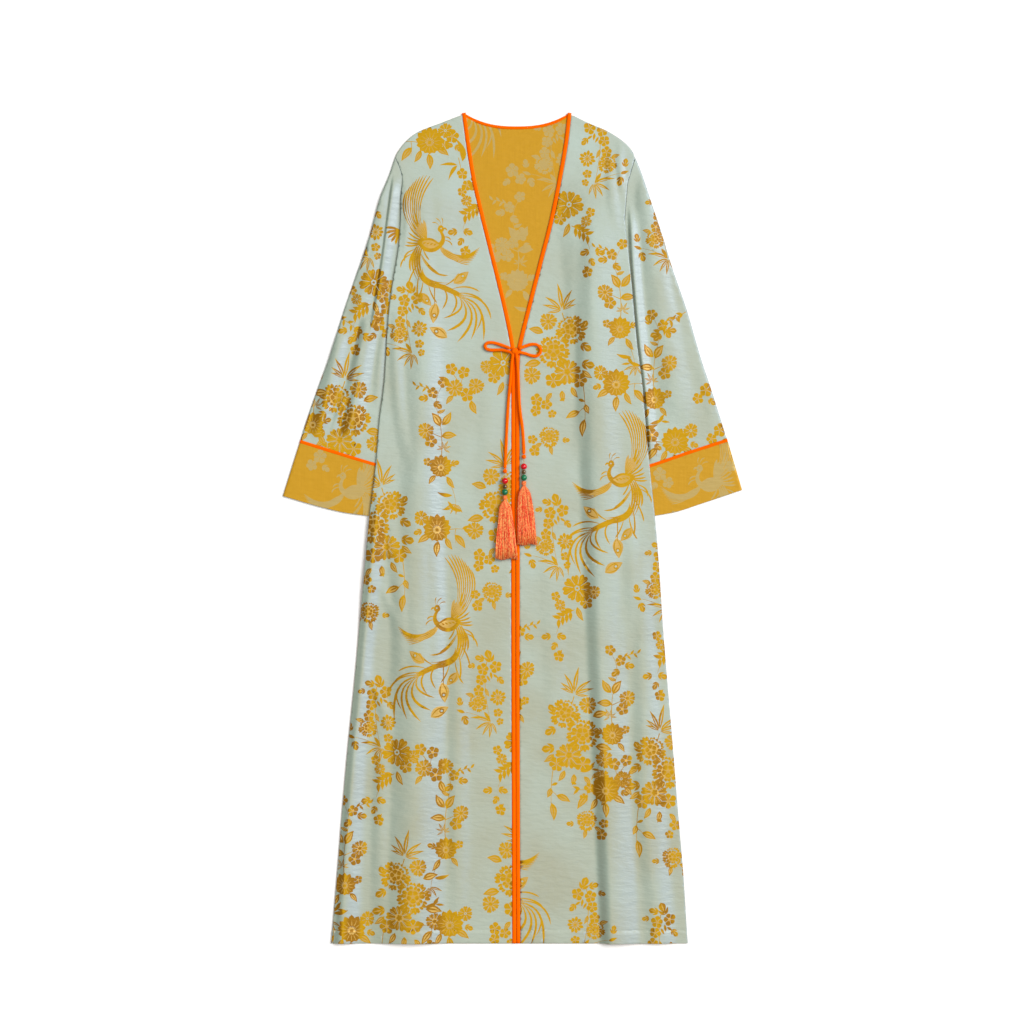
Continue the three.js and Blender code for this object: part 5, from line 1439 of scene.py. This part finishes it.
def piping_ring(side):
    """Rings (place round the sleeve, place on the wall's section): a flat loop with half-round ends, the
    wall's outer face swelling between its two seams on the upper side."""
    ends = 8
    across = 56
    half_turn = np.linspace(np.pi / 2, 1.5 * np.pi, ends + 2)[1:-1]
    share = np.linspace(0, 1, across)
    share = np.concatenate([share[::-1], np.zeros(ends), share, np.ones(ends)])
    tilt = np.concatenate([np.full(across, np.pi / 2), half_turn, np.full(across, 1.5 * np.pi),
                           half_turn + np.pi])
    span = np.linspace(-1, 1, 11)
    section = [(s * PIPING_WIDTH / 2, 0, np.sqrt(1 - s * s)) for s in span]
    section += [(s * PIPING_WIDTH / 2, CLOTH, 0) for s in span[::-1]]
    width = np.abs(along_cuff(side, 0, 0) - along_cuff(side, 1, 0))
    rings = []
    for distance, depth, swell in section:
        radius = SLEEVE_TOP / 2 - depth
        inset = (SLEEVE_TOP / 2 - radius * np.abs(np.cos(tilt))) * np.where(share == 0, 1, -1) / width
        at_end = (share == 0) | (share == 1)
        place = along_cuff(side, np.where(at_end, share + inset, mix(0.0098, 0.9902, share)), distance)
        rise = np.sin(tilt)
        z = SLEEVE_TOP / 2 + radius * rise + PIPING_PROUD * swell * np.maximum(rise, 0)
        rings.append(np.stack([place.real, place.imag, z], axis=1))
    return np.stack(rings, axis=1)


for side in ("left", "right"):
    rings = piping_ring(side)
    stations, sides = rings.shape[:2]
    station, point = np.meshgrid(np.arange(stations), np.arange(sides), indexing="ij")
    after, beside = (station + 1) % stations, (point + 1) % sides
    quads = np.stack([station * sides + point, station * sides + beside, after * sides + beside,
                      after * sides + point], axis=-1).reshape(-1, 4)
    quads = quads[:, ::-1] if side == "left" else quads
    runs = np.concatenate([[0], np.cumsum(np.linalg.norm(np.diff(rings[:, 5], axis=0), axis=1))])
    runs = np.append(runs, runs[-1] + 3)
    round_section = np.stack([point, beside, beside, point], axis=-1) * 0.5
    down_ring = np.stack([runs[station], runs[station], runs[station + 1], runs[station + 1]], axis=-1)
    flow = np.stack([down_ring, round_section], axis=-1).reshape(-1, 4, 2)
    flow = flow[:, ::-1] if side == "left" else flow
    band = make_piece(f"piping_{side}", rings.reshape(-1, 3), quads, flow=flow.reshape(-1, 2))
    dress(band, satin, "orange_satin", f"cuff_piping_{side}")

# Bindings: bias strips of orange satin folded over the raw edge of the back neck and of each front, and
# stitched down. The fold along the free edge is full and round, the sewn edge sinks into the cloth.
BINDING_HEIGHT = 2.2
NECK_BINDING_WIDTH = 4.8
NECK_REACH = 83.0


def binding(name, centre, width, low, high):
    """A closed strip along a line: its section is level below, crowned above, with a stitched groove near
    its sewn edge, and swells a little unevenly along the line."""
    run = np.gradient(centre)
    aside = 1j * run / np.abs(run)
    reach = np.concatenate([[0], np.cumsum(np.abs(np.diff(centre)))])
    turns = np.radians([0, 18, 42, 70, 97, 126, 150, 166, 180])
    across = np.concatenate([np.cos(turns), [-0.98, -0.9, 0, 0.9, 0.98]])
    rise = np.concatenate([0.18 + 0.82 * np.sin(turns) ** 0.6, [0.06, 0, 0, 0, 0.06]])
    rise[6] -= 0.1
    swell = 1 + 0.035 * np.sin(reach / 5.3 + 2 * np.sin(reach / 37))
    points = centre[:, None] - aside[:, None] * across * width / 2
    z = low[:, None] + (high - low)[:, None] * rise * (1 - 0.03 * (1 - swell[:, None]) / 0.035)
    rings = np.stack([points.real, points.imag, np.clip(z, low[:, None], high[:, None])], axis=-1)
    around = np.append(np.cumsum(np.linalg.norm(np.diff(rings[5], axis=0), axis=1)), 2 * width)
    return carried_rings(name, rings, reach, np.concatenate([[0], around]))


for side in ("left", "right"):
    down = np.linspace(FRONT_EDGE["y"][0], HEM_Y, 420)
    if side == "left":
        down = down[::-1]
    centre = column(FRONT_EDGE, "y", side, down) + 1j * down
    low = np.full(len(down), FRONT_LOW)
    strip = binding(f"front_binding_{side}", centre, 2 * BINDING_HALF, low, low + BINDING_HEIGHT)
    dress(strip, satin, "orange_satin", f"binding_front_{side}")
x = NECK_CENTRE_X + np.linspace(-NECK_REACH, NECK_REACH, 90)
rise = mix(BINDING_HEIGHT, CLOTH, ease(60, 72, np.abs(x - NECK_CENTRE_X)))
strip = binding("neck_binding", x + 1j * neck_y(x), NECK_BINDING_WIDTH, 0 * x, rise)
dress(strip, satin, "orange_satin", "binding_back_neck")

# Floor and light: a pale sweep of paper under one large soft light from the upper right, and a wide dim one
# overhead that fills the shadows.
FLOOR_HALF = 4000.0
FLOOR_Z = -0.25
SKY_STRENGTH = 0.31


def studio_floor():
    """A flat square of matt white paper, with the faint tooth of its surface."""
    material = new_material("white paper")
    place = add_node(material, "TexCoord", out="Object")
    tooth = add_node(material, "TexNoise", {"Vector": place, "Scale": 900.0})
    relief = add_node(material, "Bump", {"Height": tooth, "Strength": 0.05, "Distance": 0.0001})
    surfaced(material, base_color=linear("#FBFBFB"), roughness=0.9, normal=relief)
    mesh = bpy.data.meshes.new("floor")
    half = FLOOR_HALF * MM
    corners = [(-half, -half), (half, -half), (half, half), (-half, half)]
    mesh.from_pydata([(x, y, FLOOR_Z * MM) for x, y in corners], [], [(0, 1, 2, 3)])
    floor = bpy.data.objects.new("floor", mesh)
    floor.data.materials.append(material)
    scene.collection.objects.link(floor)


studio_floor()


def key_light(direction, strength, spread, colour):
    """A soft far light that shines from a direction onto the whole floor alike. The spread is its width in
    degrees."""
    light = bpy.data.lights.new("key", "SUN")
    light.energy = strength
    light.angle = np.radians(spread)
    light.color = linear(colour)[:3]
    lamp = bpy.data.objects.new("key", light)
    lamp.rotation_euler = Vector(direction).to_track_quat("Z", "Y").to_euler()
    scene.collection.objects.link(lamp)


def overhead_light(height, size, power, colour):
    """A wide square light that faces down over the middle of the robe."""
    light = bpy.data.lights.new("overhead", "AREA")
    light.size = size
    light.energy = power
    light.color = linear(colour)[:3]
    lamp = bpy.data.objects.new("overhead", light)
    lamp.location = (0, 0, height)
    scene.collection.objects.link(lamp)


key_light(direction=(1.0, 0.45, 1.1), strength=3.1, spread=34.0, colour="#FFFFFF")
overhead_light(height=3.6, size=3.4, power=38.0, colour="#FFFAF2")
world = bpy.data.worlds.new("studio")
world.use_nodes = True
sky = world.node_tree.nodes["Background"]
sky.inputs["Color"].default_value = linear("#F5F5F4")
sky.inputs["Strength"].default_value = SKY_STRENGTH
scene.world = world
scene.view_settings.view_transform = "Standard"
